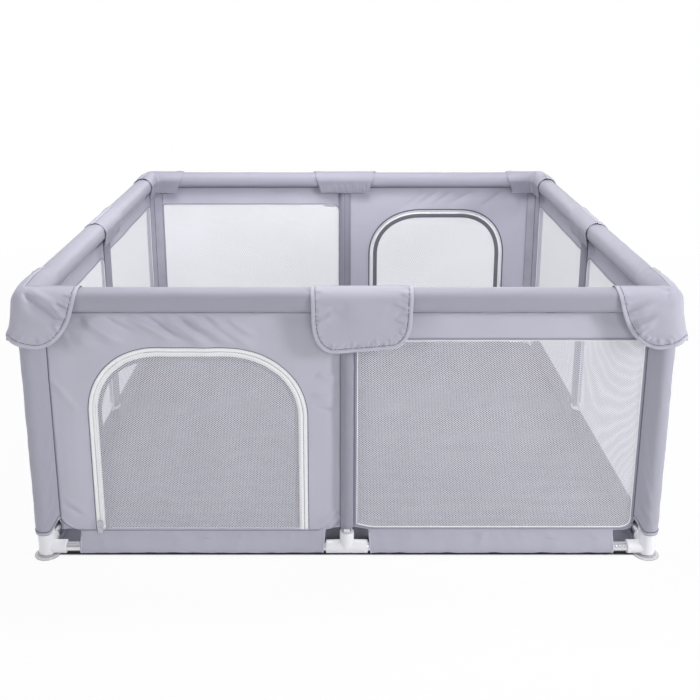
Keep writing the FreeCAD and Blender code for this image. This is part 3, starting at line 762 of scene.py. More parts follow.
panelNodes = {
    ("front", -1): "front_left_door_panel", ("front", 1): "front_right_net_panel",
    ("right", -1): "right_front_net_panel", ("right", 1): "right_back_net_panel",
    ("back", -1): "back_right_door_panel", ("back", 1): "back_left_net_panel",
    ("left", -1): "left_back_net_panel", ("left", 1): "left_front_net_panel",
}
middleEdge = reachOf("front_right_net_panel", 0, 0)  # where a panel's sheet starts, beside the middle post
sleeveTop = railHeight - 0.0302  # where a panel meets its rail cover
doorLow, doorHigh = reachOf("front_door", 0, 0), reachOf("front_door", 0, 1)
sliderLine = (reachOf("front_zip_slider", 0, 0) + reachOf("front_zip_slider", 0, 1)) / 2
doorFolds = metres(  # from x z to x z on the door's side, width, height
    (-600, 610, -508, 542, 12, 10.2), (-560, 613, -470, 560, 8, -5.4), (-500, 613, -372, 545, 11, 9.3),
    (-460, 613, -380, 556, 8, -6.3), (-415, 612, -312, 538, 10, 10.5), (-395, 613, -290, 560, 7, -5.4),
    (-362, 612, -250, 536, 10, 9.9), (-330, 612, -232, 560, 7, -4.8), (-318, 612, -210, 534, 10, 8.7),
    (-272, 608, -205, 560, 8, 4.5), (-670, 600, -580, 560, 12, 3.0), (-640, 560, -560, 535, 8, 2.4),
    (-687, 465, -609, 358, 10, 3.6), (-655, 600, -625, 520, 10, 2.4), (-70, 468, -17, 459, 8, 3.4),
    (-85, 420, -20, 412, 8, 3.0), (-80, 390, -20, 372, 7, -2.6), (-16, 100, -50, 66, 6, 5.6),
    (-14, 88, -36, 70, 4.5, -3.6), (-16, 124, -66, 78, 7, 4.0), (-676, 134, -628, 104, 7, -3.4),
    (-672, 150, -622, 122, 9, 3.2), (-75, 560, -25, 540, 7, 2.4))
windowFolds = metres((50, 614, 120, 586, 9, 2.4), (300, 612, 380, 590, 11, 2.0),
                     (420, 612, 500, 588, 10, 2.0), (560, 614, 610, 580, 8, 2.6))
sections = {  # (inwards, proud) round each swept edge
    "selvedge": metres((-2.6, 0.2), (-2.3, 1.0), (-0.4, 1.0), (-0.2, 0), (-0.4, -0.8), (-2.3, -0.8)),
    "sideSeam": metres((-1.0, 0.2), (-0.6, 1.8), (0.8, 1.8), (1.4, 0.2), (0.8, -1.2), (-0.6, -1.2)),
    "topSeam": metres((-0.2, 0.3), (0, 2.2), (1.0, 2.0), (1.2, 0), (1.0, -2.0), (0, -2.2)),
    "liftSeam": metres((-1.3, 0.2), (-1.0, 1.5), (0, 1.6), (0.3, 0.2), (0, -1.0), (-1.0, -1.0)),
    "footSeam": metres((-0.6, 0.4), (-0.4, 2.1), (0.4, 2.1), (0.6, 0.4)),
    "tape": metres((0, 0.2), (0.8, 1.2), (2.5, 1.7), (5.5, 1.9), (8.0, 1.5), (9.3, 1.0), (9.3, -0.8),
                   (0.8, -0.9)),
    "backing": metres((1, -0.6), (9.2, -0.6), (9.2, -1.8), (1, -1.8)),
    "fold": metres((0, 0), (0.4, 1.1), (1.2, 1.2), (1.9, 0.8), (1.9, -0.8), (0.4, -0.8)),
    "foldInside": metres((0, -1.3), (0, -2.4), (1.0, -2.7), (4.2, -2.7), (5.0, -2.4), (5.0, -1.9),
                         (2.4, -1.9)),
    "leafTape": metres((0, 0), (0, 0.9), (1.2, 1.4), (5.45, 1.5), (9.9, 1.2), (10.9, 0.4), (10.9, -0.6),
                       (0, -0.6)),
    "facing": metres((0, -0.4), (0, -1.6), (1.5, -2.2), (13.0, -2.2), (14.5, -1.6), (14.5, -0.8),
                     (1.5, -0.8)),
    "flapSeam": metres((0, 0), (0.2, 0.9), (1.2, 0.9), (1.5, 0), (1.2, -0.9), (0.2, -0.9)),
}


def panelsInTurn():
    for (side, hand), node in panelNodes.items():
        yield side, hand, node, node.replace("_door_panel", "").replace("_net_panel", ""), sides[side]


def panelSurface(side, hand, isDoor):
    p = panel
    if isDoor:
        step, share = (1, 1.0) if side == "front" else (2, 0.7)
        folds = [(*fold[:5], fold[5] * share) for fold in doorFolds[::step]]
    else:
        folds = [(hand * u1, v1, hand * u2, *rest) for u1, v1, u2, *rest in windowFolds]
    seed = 11 + 7 * turnOf[side] + hand
    share = p["backShare"] if side == "back" else 1.0  # the back panels hang smoother

    def place(flat):
        u, v = flat[:, 0], flat[:, 1]
        across = np.abs(u)
        held = between(across, p["inner"], 0.03, 0.672, p["outer"])
        out = held * between(v, p["foot"], 0.10, 0.606, p["top"]) * ripple(flat, seed, *p["ripple"])
        pillow = between(across, p["inner"], 0.050, 0.655, p["outer"])
        out += p["stand"] * pillow * between(v, p["foot"], 0.110, 0.575, p["top"])
        out += share * foldField(flat, folds) * between(v, p["foot"], 0.074, 0.611, p["top"])
        if isDoor:  # flat where the slider runs, up the straight side
            out *= 1 - (1 - smooth(np.abs(u - sliderLine), 0.014, 0.050)) * (1 - smooth(v, 0.350, 0.410))
        return np.stack([u, -postReach - out, v], -1)

    return place


def hemLine(isDoor):
    # from the middle post to the corner post, lifted clear of both feet; a door panel's most
    p = panel
    if isDoor:
        rise = [(0.640, p["bottom"]), (0.655, 0.0685), (0.669, 0.0765), (0.681, 0.088)]
        rise.append((p["outer"], p["hemCorner"]))
    else:
        rise = [(0.652, p["bottom"]), (0.666, 0.0662), (0.677, 0.0692), (0.685, 0.0745), (p["outer"], 0.0820)]
    slope = [(middleEdge, 0.0735), (0.036, 0.071), (0.050, 0.0675), (0.062, p["bottom"])]
    return np.vstack([curveThrough(slope, 0.005), curveThrough(rise, 0.004)])


def windowOutline(grow=0.0):
    # clockwise seen from outside, so its left lies on the cloth
    p = panel
    low, high, top = p["windowMiddle"] - grow, p["windowOuter"] + grow, p["windowTop"] + grow
    r, q = p["roundCorner"], p["squareCorner"]
    line = [(low, 0.081 - grow), (low, top - r)]
    line += arc((low + r, top - r), r, 180, 90, 7)[1:]
    line += arc((high - q, top - q), q, 90, 0, 4)
    foot = [(high, 0.093), (high - 0.0015, 0.0865), (high - 0.006, 0.0805), (high - 0.013, 0.0760),
            (high - 0.024, p["windowBottom"]), (0.068, p["windowBottom"]), (0.050, 0.0745), (0.034, 0.0785)]
    return np.array(line + [(u, v - grow) for u, v in foot])


def zipLine(inset, spacing=0.004):
    # anticlockwise, so its left lies on the door; the two top corners are turned a little differently
    low, high = doorLow - zip_["reach"], doorHigh + zip_["reach"]
    top, bottom = reachOf("front_door", 2, 1) + zip_["reach"], panel["seam"]
    turns = np.linspace(0, quarter, 40)
    back = turns[::-1]
    x, z, power = zip_["rightTurn"]
    right = np.stack([high - x + x * np.cos(turns) ** power, top - z + z * np.sin(turns) ** power], -1)
    x, z, power = zip_["leftTurn"]
    left = np.stack([low + x - x * np.cos(back) ** power, top - z + z * np.sin(back) ** power], -1)
    line = resampled(np.vstack([[(high, bottom)], right, left, [(low, bottom)]]), spacing)
    inwards = inwardNormals(line, False)
    inwards[0], inwards[-1] = (-1, 0), (1, 0)
    return resampled(line + inwards * inset, spacing)


def clothPiece(name, outline, surface, angle, finish, spacing, thickness, replaces, hole=None,
               body="frame"):
    flat, triangles = flatCut(outline, spacing, hole)
    piece = makePiece(name, turned(surface(flat), angle), triangles, finishes[finish], body, replaces,
                      flat)
    thicken(piece, thickness)
    width, length = flat.max(0) - flat.min(0)
    a, b, c = (flat[triangles[:, k]] for k in range(3))
    area = 0.5 * np.abs((b - a)[:, 0] * (c - a)[:, 1] - (b - a)[:, 1] * (c - a)[:, 0]).sum()
    if area < 0.35 * width * length:  # round a window, joined from narrow strips
        length = area / width


def bindingPiece(name, parts, angle, finish="binding", body="frame", replaces=None):
    points, faces, uv = joinedUp(parts)
    return makePiece(name, turned(points, angle), faces, finishes[finish], body, replaces, uv, True)


def stitchOn(body, surface, line, inwards, proud, angle):
    stitched(body, turned(onSurface(surface, line, inwards, proud), angle))


def doorPanelOutline(outline):
    # cut away up the zip, inside its tape
    opening, bottom = zipLine(zip_["opening"]), panel["bottom"]
    low = outline[outline[:, 1] < panel["halfway"]]
    right, left = opening[0][0], opening[-1][0]
    return np.vstack([low[low[:, 0] < left], [(left, bottom)], opening[::-1], [(right, bottom)],
                      low[low[:, 0] > right], outline[outline[:, 1] > panel["halfway"]]])


def dressPanel(side, hand, node, name, angle):
    p, isDoor = panel, "door" in node
    surface = panelSurface(side, hand, isDoor)
    hem = hemLine(isDoor)
    outline = handed(np.vstack([hem, [(p["outer"], sleeveTop), (middleEdge, sleeveTop)]]), hand)
    hem = handed(hem, hand)
    hems, edges, hole = [hem[np.abs(hem[:, 0]) > p["hemEnds"][0]]], [], None
    stitchOut = p["bindingThickness"] / 2 + 0.0002

    def edging(suffix, parts, finish="binding"):
        return bindingPiece(name + suffix, parts, angle, finish, replaces=node)

    def swept(section, *ends, over=surface, step=p["straightStep"]):
        # a straight edge between two points, on this panel's hand
        return strip(over, resampled(handed(ends, hand), step), section)

    if isDoor:
        outline = doorPanelOutline(outline)
        hems.append(hem[np.abs(hem[:, 0]) < p["hemEnds"][1]])
    else:
        hole = ringOf(handed(windowOutline(), hand), p["ringStep"])
        edges = [strip(surface, hole, flatSection(p["binding"], p["bindingThickness"]), closed=True)]
        stitchOn("frame", surface, np.vstack([hole, hole[:1]]), p["binding"] - 0.0012, stitchOut, angle)
    for line in hems:
        edges.append(strip(surface, line, flatSection(p["hem"], p["bindingThickness"])))
        stitchOn("frame", surface, line, p["hemStitch"], stitchOut, angle)
    welt, above = sleeveTop - 0.0005, sleeveTop + 0.0006
    edging("_top_welt", [swept(flatSection(p["weltHeight"], p["weltThickness"]), (0.660, welt), (0.050, welt))])
    if not isDoor:
        edging("_net_selvedge", [strip(surface, hole, sections["selvedge"], closed=True)], "tape")
    bound = edging("_bound_edges", edges, "cloth" if isDoor else "edging")
    # dark strips in the seam cloth: painted shade along the side seam, under the rail, under a door's lifted
    # corner and along its foot
    seams = [swept(sections["sideSeam"], (0.6885, 0.6165), (0.6885, 0.101)),
             swept(sections["topSeam"], (0.660, above), (0.050, above))]
    if isDoor:  # dark under the lifted corner and along the foot
        seams += [strip(surface, hems[0], sections["liftSeam"]),
                  swept(sections["footSeam"], (0.066, 0.0650), (0.640, 0.0650))]
    edging("_panel_seams", seams, "seam")
    clothPiece(name + "_panel_cloth", outline, surface, angle, "cloth",
               p["doorSpacing" if isDoor else "spacing"], p["thickness"], node, hole)
    if not isDoor:
        netPiece(name + "_window_net", handed(windowOutline(0.003), hand), surface, angle, "frame", node,
                 netScale[side])
        return

    def behind(flat):
        return surface(flat) + (0, p["layerBehind"], 0)

    layer = [(0.6405, 0.0672), (0.6880, 0.0665), (0.6880, 0.1120), (0.6405, 0.1120)]
    edging("_corner_layer_hem", [swept(flatSection(0.0045, 0.0018), *layer[:2], over=behind, step=0.006)])
    clothPiece(name + "_corner_layer", handed(layer, hand), behind, angle, "cloth", 0.006, 0.0008, node)
    dressZip(side, surface, angle)


def dressZip(side, surface, angle):
    z, door = zip_, side + "_door"
    line = zipLine(0.0)

    def edging(suffix, parts, finish, body=door, replaces=door, slot=None):
        parts = [strip(surface, along, section) for along, section in parts]
        bindingPiece(side + suffix, parts, angle, finish, body, replaces)

    def teeth(suffix, inset, body):
        row = turned(onSurface(surface, line, inset, z["teethOut"]), angle)
        return rowPiece(side + suffix, toothRow, [row], body, "teeth", Pitch=z["pitch"])

    edging("_zip_frame_tape", [(line, sections["tape"]), (line, sections["backing"])], "tape", "frame",
           "zip_tapes", "zip_white")
    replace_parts(teeth("_zip_frame_teeth", z["outerTeeth"], "frame"), "zip_tapes")
    teeth("_zip_door_teeth", z["innerTeeth"], door)
    stitchOn("frame", surface, line, 0.0012, 0.0016, angle)
    # the folded cloth that the tape is sewn under, as dark strips: painted shadow in the groove beside the tape
    folds = [(zipLine(-0.0016), sections["fold"]), (zipLine(-0.0018), sections["foldInside"])]
    edging("_zip_cloth_fold", folds, "seam", "frame", "zip_tapes")
    # the leaf: its tape, the facing behind it, the net and a hem along the foot
    edging("_door_tape", [(zipLine(z["innerTape"]), sections["leafTape"])], "tape", slot="zip_white")
    # the facing in the dark grey lining: a real facing, with painted shade behind the net
    edging("_door_facing", [(zipLine(z["facing"]), sections["facing"])], "lining")
    for inset, proud in ((0.0167, 0.0016), (0.0202, 0.0015), (0.0295, -0.0024), (0.0180, -0.0024)):
        row = onSurface(surface, line, inset, proud)  # clear of the turning edge and of the slider
        stitched(door, turned(row[row[:, 2] > z["clear"]], angle))
    outline = np.vstack([zipLine(z["innerEdge"] - 0.004, 0.006), [(doorLow + 0.001, 0.0675),
                                                                   (doorHigh - 0.001, 0.0675)]])
    netPiece(side + "_door_net", outline, surface, angle, door, door, netScale[side])
    foot = resampled([(doorLow + 0.003, 0.0672), (doorHigh - 0.003, 0.0672)], 0.02)
    edging("_door_foot", [(foot, flatSection(0.005, 0.0022))], "binding")


for each in panelsInTurn():
    dressPanel(*each)
print("side panels dressed:", len(panelNodes))


# lofted cloth

def loftPiece(name, grid, angle, finish, thickness, replaces=None):
    # grid is rows x columns x 3; the flat cut is measured along its longest row and column
    grid = np.asarray(grid, float)
    rows, columns = grid.shape[:2]
    steps = [np.linalg.norm(np.diff(grid, axis=axis), axis=2) for axis in (0, 1)]
    along = np.vstack([np.zeros((1, columns)), np.cumsum(steps[0], 0)])
    across = np.hstack([np.zeros((rows, 1)), np.cumsum(steps[1], 1)])
    uv = np.stack(np.broadcast_arrays(across.mean(0), along.mean(1)[:, None]), -1)
    piece = makePiece(name, turned(grid, angle), gridFaces(rows, columns), finishes[finish],
                      replaces=replaces, uv=uv)
    thicken(piece, thickness)


# padded top rails: foam tubes swollen by simulation, and the covers drawn over them

rail = {"middleEnd": 0.0545, "cornerEnd": 0.6655, "bore": 0.0118, "coverRadius": 0.0290, "squareness": 0.0013,
        "cover": 0.0009, "voxel": 0.006, "pressure": 4.0, "frames": 20, "cap": 0.0010, "foamUnder": 0.0022,
        "miss": 0.0275, "seam": 0.0302, "seamGap": 0.012}


def railRadius(around):
    # a little flatter at the top and front than between them; 0 is the bottom seam
    return rail["coverRadius"] - rail["squareness"] * np.cos(4 * around)


def foamMesh():
    r = rail
    xs = np.linspace(r["middleEnd"] + 0.002, r["cornerEnd"] - 0.002, 78)[:, None]
    turns = np.linspace(0, math.tau, 32, endpoint=False)
    outer, inner = (gridOf(xs, -radius * np.sin(turns), -radius * np.cos(turns))
                    for radius in (railRadius(turns) - r["foamUnder"], r["bore"]))
    loop = np.concatenate([outer, inner[::-1]])
    rows, columns = loop.shape[:2]
    faces = gridFaces(rows, columns, closed=True).tolist()
    last = (rows - 1) * columns
    faces += [[last + k, last + (k + 1) % columns, (k + 1) % columns, k] for k in range(columns)]
    return loop.reshape(-1, 3), faces


def swollen(foam, start):
    # blown up from inside, held along the bore, the seam and both ends
    held = foam.vertex_groups.new(name="held")
    radius = np.linalg.norm(start[:, 1:], axis=1)
    seam = (np.abs(start[:, 1]) < 0.004) & (start[:, 2] < 0)
    ends = (start[:, 0] < start[:, 0].min() + 0.004) | (start[:, 0] > start[:, 0].max() - 0.004)
    held.add(np.flatnonzero((radius < 0.015) | seam | ends).tolist(), 1.0, "REPLACE")
    cloth = foam.modifiers.new("swell", "CLOTH")
    cloth.settings.quality = 4
    cloth.settings.use_pressure = True
    cloth.settings.uniform_pressure_force = rail["pressure"]
    cloth.settings.vertex_group_mass = "held"
    cloth.settings.effector_weights.gravity = 0.0
    cloth.collision_settings.use_collision = False
    for number in range(1, rail["frames"] + 1):
        scene.frame_set(number)
    moved = coordsOf(foam.evaluated_get(bpy.context.evaluated_depsgraph_get()).to_mesh()) - start
    foam.modifiers.clear()
    scene.frame_set(1)
    distance = np.linalg.norm(moved, axis=1, keepdims=True)
    return start + moved * np.minimum(1.0, rail["cap"] / np.maximum(distance, 1e-9))


def railFoam():
    points, faces = foamMesh()
    mesh = bpy.data.meshes.new("foam")
    mesh.from_pydata(points.tolist(), [], faces)
    outwardFaces(mesh)
    foam = added("foam", mesh)
    remesh = foam.modifiers.new("even", "REMESH")
    remesh.mode = "VOXEL"
    remesh.voxel_size = rail["voxel"]
    depsgraph = bpy.context.evaluated_depsgraph_get()
    even = bpy.data.meshes.new_from_object(foam.evaluated_get(depsgraph), depsgraph=depsgraph)
    foam.modifiers.clear()
    foam.data = even
    points = coordsOf(even)
    points = swollen(foam, points)
    bpy.data.objects.remove(foam)
    return points, [tuple(f.vertices) for f in even.polygons]


foamPoints, foamFaces = railFoam()
foamTree = BVHTree.FromPolygons([Vector(q) for q in foamPoints], foamFaces)
print("rail foam made:", len(foamPoints), "points")


def coverGrid(seed):
    # the cover lies on the foam; it meets itself in the seam below
    r = rail
    turns = np.linspace(r["seamGap"], math.tau - r["seamGap"], 60)
    u, a = np.meshgrid(np.linspace(r["middleEnd"], r["cornerEnd"], 54), turns)
    reach = np.empty(u.shape)
    for place in np.ndindex(u.shape):
        out = Vector((0.0, -math.sin(a[place]), -math.cos(a[place])))
        hit = foamTree.ray_cast(Vector((u[place], 0, 0)) + out * 0.06, -out)[0]
        reach[place] = math.hypot(hit.y, hit.z) if hit else r["miss"]
    for _ in range(4):  # the cloth evens out what the foam does
        reach[1:-1] = (reach[:-2] + reach[2:] + 2 * reach[1:-1]) / 4
        reach[:, 1:-1] = (reach[:, :-2] + reach[:, 2:] + 2 * reach[:, 1:-1]) / 4
    random = np.random.default_rng(seed)
    flat = np.stack([u.ravel(), (a * 0.03).ravel()], -1)
    creases = [(x, 0.0, x + random.uniform(-0.02, 0.02), random.uniform(0.02, 0.05), 0.004, -0.0006)
               for x in random.uniform(0.1, 0.62, 7)]
    reach = np.maximum(reach + 0.0011, railRadius(a) - 0.0006)
    reach = reach + (ripple(flat, seed, 0.12, 0.0004) + foldField(flat, creases)).reshape(u.shape)
    reach = np.clip(reach, 0.0268, 0.0299)
    reach = reach + (r["seam"] - reach) * (1 - smooth(np.minimum(a, math.tau - a), 0.0, 0.16))
    return np.stack([u, -reach * np.sin(a), -reach * np.cos(a)], -1)


def mirrored(grid, hand):
    return grid if hand > 0 else (grid * (-1, 1, 1))[:, ::-1]


onRail = np.array([0.0, -postReach, railHeight])
for side, hand, node, name, angle in panelsInTurn():
    grid = mirrored(coverGrid(31 + 3 * turnOf[side] + hand), hand) + onRail
    loftPiece(name + "_rail_cover", grid, angle, "cover", rail["cover"], node)
    pad = makePiece(name + "_rail_pad", turned(foamPoints * (hand, 1, 1) + onRail, angle), foamFaces,
                    finishes["foam"], replaces="rail_pads", closed=True)
print("rails padded and covered")


# lower sleeves, drop-shaped round the lower rails

lowerSleeve = {"thickness": 0.0010, "axis": 0.021, "foot": 0.0068, "least": 0.0062, "hem": 0.0042}
profileStep = 0.0022  # between points round a sleeve
dropProfile = curveThrough(metres(
    (-0.7, 67.2), (-0.9, 60), (-4.0, 49), (-9.2, 38), (-12.6, 29), (-13.8, 21), (-12.2, 12.8), (-7.2, 7.8),
    (0, 6.8), (7.2, 8.2), (11.8, 14.0), (12.6, 21), (11.0, 30), (7.2, 40), (3.0, 51), (1.0, 60), (0.7, 67.2)),
    profileStep)
foldRow = int(np.argmax(dropProfile[:, 0] > 0))  # the lining takes over under the rail


def sleeveOutward():
    outward = unit(dropProfile - (0, lowerSleeve["axis"]))
    upper = dropProfile[:, 1] > 0.045
    outward[upper] = (-1, 0)
    outward[upper & (dropProfile[:, 0] > 0)] = (1, 0)
    return outward


def lowerSleeveGrid(seed):
    random = np.random.default_rng(seed)
    y, z = dropProfile[:, :1], dropProfile[:, 1:]
    slant = 0.006 * (z - lowerSleeve["foot"]) / 0.06
    low, high = middleEdge + 0.041 - slant, 0.641 + 0.003 - slant * 0.4
    grid = gridOf(low + (high - low) * np.linspace(0, 1, 91), y, z)
    # soft diagonal drag lines on the front, and a few across the fold at the bottom
    drags = [(x, 0.066, x + random.uniform(0.01, 0.035) * random.choice((-1, 1)),
              random.uniform(0.015, 0.035), random.uniform(0.006, 0.012),
              random.choice((-1, 1)) * random.uniform(0.0014, 0.0026))
             for x in np.linspace(0.08, 0.60, 13) + random.uniform(-0.015, 0.015, 13)]
    flat = grid[:, :, ::2].reshape(-1, 2)
    swell = (foldField(flat, drags) + ripple(flat, seed, 0.09, 0.0010)).reshape(grid.shape[:2])
    swell *= smooth(panel["seam"] - z, 0.0, 0.015) * np.where(y < 0.002, 1.0, 0.5)
    shift = np.clip(swell, -0.0010, 0.0022)
    outward = sleeveOutward()
    grid[:, :, 1] += shift * outward[:, :1]
    grid[:, :, 2] = np.maximum(grid[:, :, 2] + shift * outward[:, 1:], lowerSleeve["least"])
    return grid + (0, -postReach, 0)


def sleeveEndHem(ring, step):
    # a band round one end of a lower sleeve
    out = ring - (0, -postReach, lowerSleeve["axis"])
    out[:, 0] = 0
    out = unit(out)
    near, far = ring + (step * 0.02, 0, 0), ring + (step, 0, 0)
    return tubeAlong([near + out * 0.0011, far + out * 0.0010, far - out * 0.0008, near - out * 0.0008])


for side, hand, node, name, angle in panelsInTurn():
    grid = lowerSleeveGrid(51 + 3 * turnOf[side] + hand)
    placed = mirrored(grid, hand)
    thickness = lowerSleeve["thickness"]
    loftPiece(name + "_lower_sleeve", placed[:foldRow + 1], angle, "foot", thickness, node)
    # the inner side in the dark grey lining: painted shade inside the sleeve
    loftPiece(name + "_lower_lining", placed[foldRow:, ::2], angle, "lining", thickness, node)
    for column in (2, -3):
        stitched("frame", turned(placed[4:-4, column], angle))
    hems = [sleeveEndHem(grid[:, column], step)
            for column, step in ((0, lowerSleeve["hem"]), (-1, -lowerSleeve["hem"]))]
    hems = [(points * (hand, 1, 1), faces, uv) for points, faces, uv in hems]
    bindingPiece(name + "_lower_sleeve_hems", hems, angle, replaces=node)
for side, angle in sides.items():  # the lining runs on, inside, past the middle post
    ends = ownBox("lower_tee_" + side, angle)
    deep = ends[:, 1].max() + postReach + 0.0018
    inner = dropProfile[foldRow:]
    x = np.linspace(-0.068, 0.068, 40)
    passing = 1 - smooth(np.abs(x), 0.034, 0.060)
    y = inner[:, :1] + 0.0012 + passing * np.maximum(deep - inner[:, :1] - 0.0012, 0)
    grid = gridOf(x, -postReach + y, inner[:, 1:] + 0.0015)
    # dark grey lining round the tee: painted shade in the gaps beside it
    loftPiece(side + "_foot_lining", grid, angle, "lining", 0.0008)
print("lower sleeves made")


# post sleeves

sleeve = {"thickness": 0.0010, "hemBand": 0.0065, "seam": 0.037, "radius": 0.0228, "top": 0.6170,
          "hem": 0.064, "finHem": 0.097, "middleRadius": 0.0151, "middleHem": 0.0755, "middleTop": 0.6065,
          "least": -0.0008, "facing": 0.0008,
          "pulls": metres((330, 30, 120, 6.0, 2.2), (255, 40, 110, 6.0, 3.0), (190, 46, 100, 5.0, -2.2),
                          (170, 50, 80, 6.0, 3.4), (135, 44, 55, 5.0, -2.2), (118, 40, 36, 5.0, 2.6))}


def cornerProfile():
    # round the outside about the post, from the left-hand seam to the right-hand one seen from outside
    s, r = sleeve["seam"], sleeve["radius"]
    touch = math.acos(r / s)
    away, along = -r * math.sin(touch) / 2 - 0.0006, (s + r * math.cos(touch)) / 2 + 0.0004
    degrees = math.degrees(touch)
    line = [(s, -0.0009), (along, away)] + arc((0, 0), r, -degrees, -270 + degrees, 16)
    return curveThrough(line + [(away, along), (-0.0009, s)], profileStep)[::-1]


def sleeveFolds(seed, length, many):
    random = np.random.default_rng(seed)
    folds = []
    for _ in range(many):
        u = random.uniform(0.006, length - 0.02)
        v = random.choice([random.uniform(0.09, 0.2), random.uniform(0.3, 0.5)])
        folds.append((u, v, u + random.uniform(0.008, 0.02), v + random.uniform(-0.05, -0.02), 0.004,
                      random.uniform(0.0006, 0.0013) * random.choice((-1, 1))))
    return folds


def sleeveGrid(profile, across, z, swelling, edge, most, radius):
    # a profile pushed out from its post's axis, by swelling(flat cut, its length), but not at its seams
    share = np.linspace(0, 1, len(profile))
    length = profileStep * len(profile)
    flat = np.stack(np.broadcast_arrays(share * length, z), -1)
    swell = swelling(flat.reshape(-1, 2), length).reshape(flat.shape[:2])
    swell = swell * smooth(np.minimum(share, 1 - share), 0.0, edge)
    scale = 1 + np.clip(swell, sleeve["least"], most) / radius
    return gridOf(across + profile[:, 0] * scale, -postReach + profile[:, 1] * scale, z)


def uprightSeam(x, y, low, high, edges):
    line = gridOf(x, y, np.linspace(low, high, 30))
    return tubeAlong([line + (*edge, 0) for edge in edges], 0.018, (0, 0.002, 0.004, 0.006))


def ribbon(line, out, section, *layout):
    # four edges along a line, each moved outwards and up
    return tubeAlong([line + out * proud + (0, 0, up) for proud, up in section], *layout)


def cornerPulls(length):
    # drag lines down from both seams
    for hand in (1, -1):
        for seamHeight, reach, fall, width, height in sleeve["pulls"]:
            start, end = (0.008, reach) if hand > 0 else (length - 0.008, length - reach)
            yield start, seamHeight, end, seamHeight - fall, width, height


def postSleeve(corner, angle, seed):
    def swelling(flat, length):
        folds = sleeveFolds(seed, length, 9) + list(cornerPulls(length))
        return foldField(flat, folds) + ripple(flat, seed, 0.14, 0.0007)

    def edging(suffix, parts, finish="binding"):
        bindingPiece("post_" + suffix + corner, parts, angle, finish, replaces="post_sleeves")

    s, profile = sleeve, cornerProfile()
    share = np.linspace(0, 1, len(profile))
    foot = s["hem"] + (s["finHem"] - s["hem"]) * (1 - smooth(np.minimum(share, 1 - share), 0.0, 0.26))
    rows = np.concatenate([np.linspace(0, 0.12, 12), np.linspace(0.14, 1, 60)])[:, None]
    z = foot + (s["top"] - foot) * rows
    grid = sleeveGrid(profile, -postReach, z, swelling, 0.12, 0.0036, s["radius"])
    loftPiece("post_sleeve_" + corner, grid, angle, "sleeve", s["thickness"], "post_sleeves")
    hem, band = grid[0], s["hemBand"]
    out = unit(gridOf(profile[:, 0], profile[:, 1], 0))
    section = [(0.0012, -0.0004), (0.0014, band), (-0.0008, band), (-0.0008, -0.0004)]
    edging("sleeve_hem_", [ribbon(hem, out, section)])
    stitched("frame", turned(hem + out * 0.0017 + (0, 0, band - 0.0012), angle))
    # dark strips over and under the hem: painted shade along its edges
    over = [(0.0007, band), (0.0017, band + 0.0002), (0.0017, band + 0.0014), (0.0007, band + 0.0016)]
    under = metres((1.0, -1.4), (1.0, -0.3), (-0.6, -0.3), (-0.6, -1.4))
    edging("sleeve_hem_seam_", [ribbon(hem, out, over), ribbon(hem, out, under)], "seam")
    # the net panels run on across the inner side and meet in a seam
    end = s["seam"] + 0.001
    inner = [(0.0046, 0.0262), (0.0080, 0.0140), (0.0100, 0.0100), (0.0140, 0.0080), (0.0262, 0.0046)]
    inner = curveThrough([(0.0016, end)] + inner + [(end, 0.0016)], 0.003)
    z = np.linspace(0.100, 0.6165, 40)[:, None]
    facing = gridOf(-postReach + inner[:, 0], -postReach + inner[:, 1], z)[:, ::-1]
    loftPiece("post_facing_" + corner, facing, angle, "facing", s["facing"], "post_sleeves")
    x, y = inner[np.argmin(np.abs(inner[:, 0] - inner[:, 1]))] - postReach + 0.0004
    edges = metres((-1.2, 1.0), (0.6, 0.6), (1.0, -1.2), (-0.5, -0.5))
    # a dark strip down the seam: painted shade in the inner corner
    edging("facing_seam_", [uprightSeam(x, y, 0.101, 0.616, edges)], "seam")


def middleSleeve(side, angle, seed):
    def swelling(flat, length):
        return foldField(flat, sleeveFolds(seed, length, 5)) * 0.5 + ripple(flat, seed, 0.12, 0.0004)

    s = sleeve
    outer = np.array(arc((0, 0), s["middleRadius"], 180, 360, 22))
    back = curveThrough(metres((22.2, 1.6), (16.0, 8.0), (9.5, 12.4), (0, 13.0), (-9.5, 12.4), (-16.0, 8.0),
                               (-22.2, 1.6)), profileStep)
    z = np.concatenate([np.linspace(s["middleHem"], 0.10, 8), np.linspace(0.11, s["middleTop"], 52)])[:, None]
    for name, profile, proud in (("middle_sleeve_", outer, -0.0010), ("middle_facing_", back, 0.0010)):
        grid = sleeveGrid(profile, 0.0, z, swelling, 0.2, 0.0008, s["middleRadius"])
        loftPiece(name + side, grid, angle, "middle", s["thickness"], "post_sleeves")
        stitched("frame", turned(grid[2] + (0, proud, 0), angle))
    # dark strips down both seams and inside: painted shade beside the middle sleeve
    outside = metres((-0.9, -0.4), (0, -0.9), (0.9, -0.4), (0, 0.4))
    inside = metres((-0.7, 0), (0, 0.6), (0.7, 0), (0, -0.4))
    at = ((-0.0156, -0.0004, outside), (0.0156, -0.0004, outside), (0.0, 0.0136, inside))
    seams = [uprightSeam(x, -postReach + y, 0.077, 0.606, edges) for x, y, edges in at]
    bindingPiece("middle_sleeve_seams_" + side, seams, angle, "seam", replaces="post_sleeves")


for number, (corner, angle) in enumerate(corners.items()):
    postSleeve(corner, angle, 71 + number)
for number, (side, angle) in enumerate(sides.items()):
    middleSleeve(side, angle, 91 + number)
print("post sleeves made")


# flaps over the middle joints

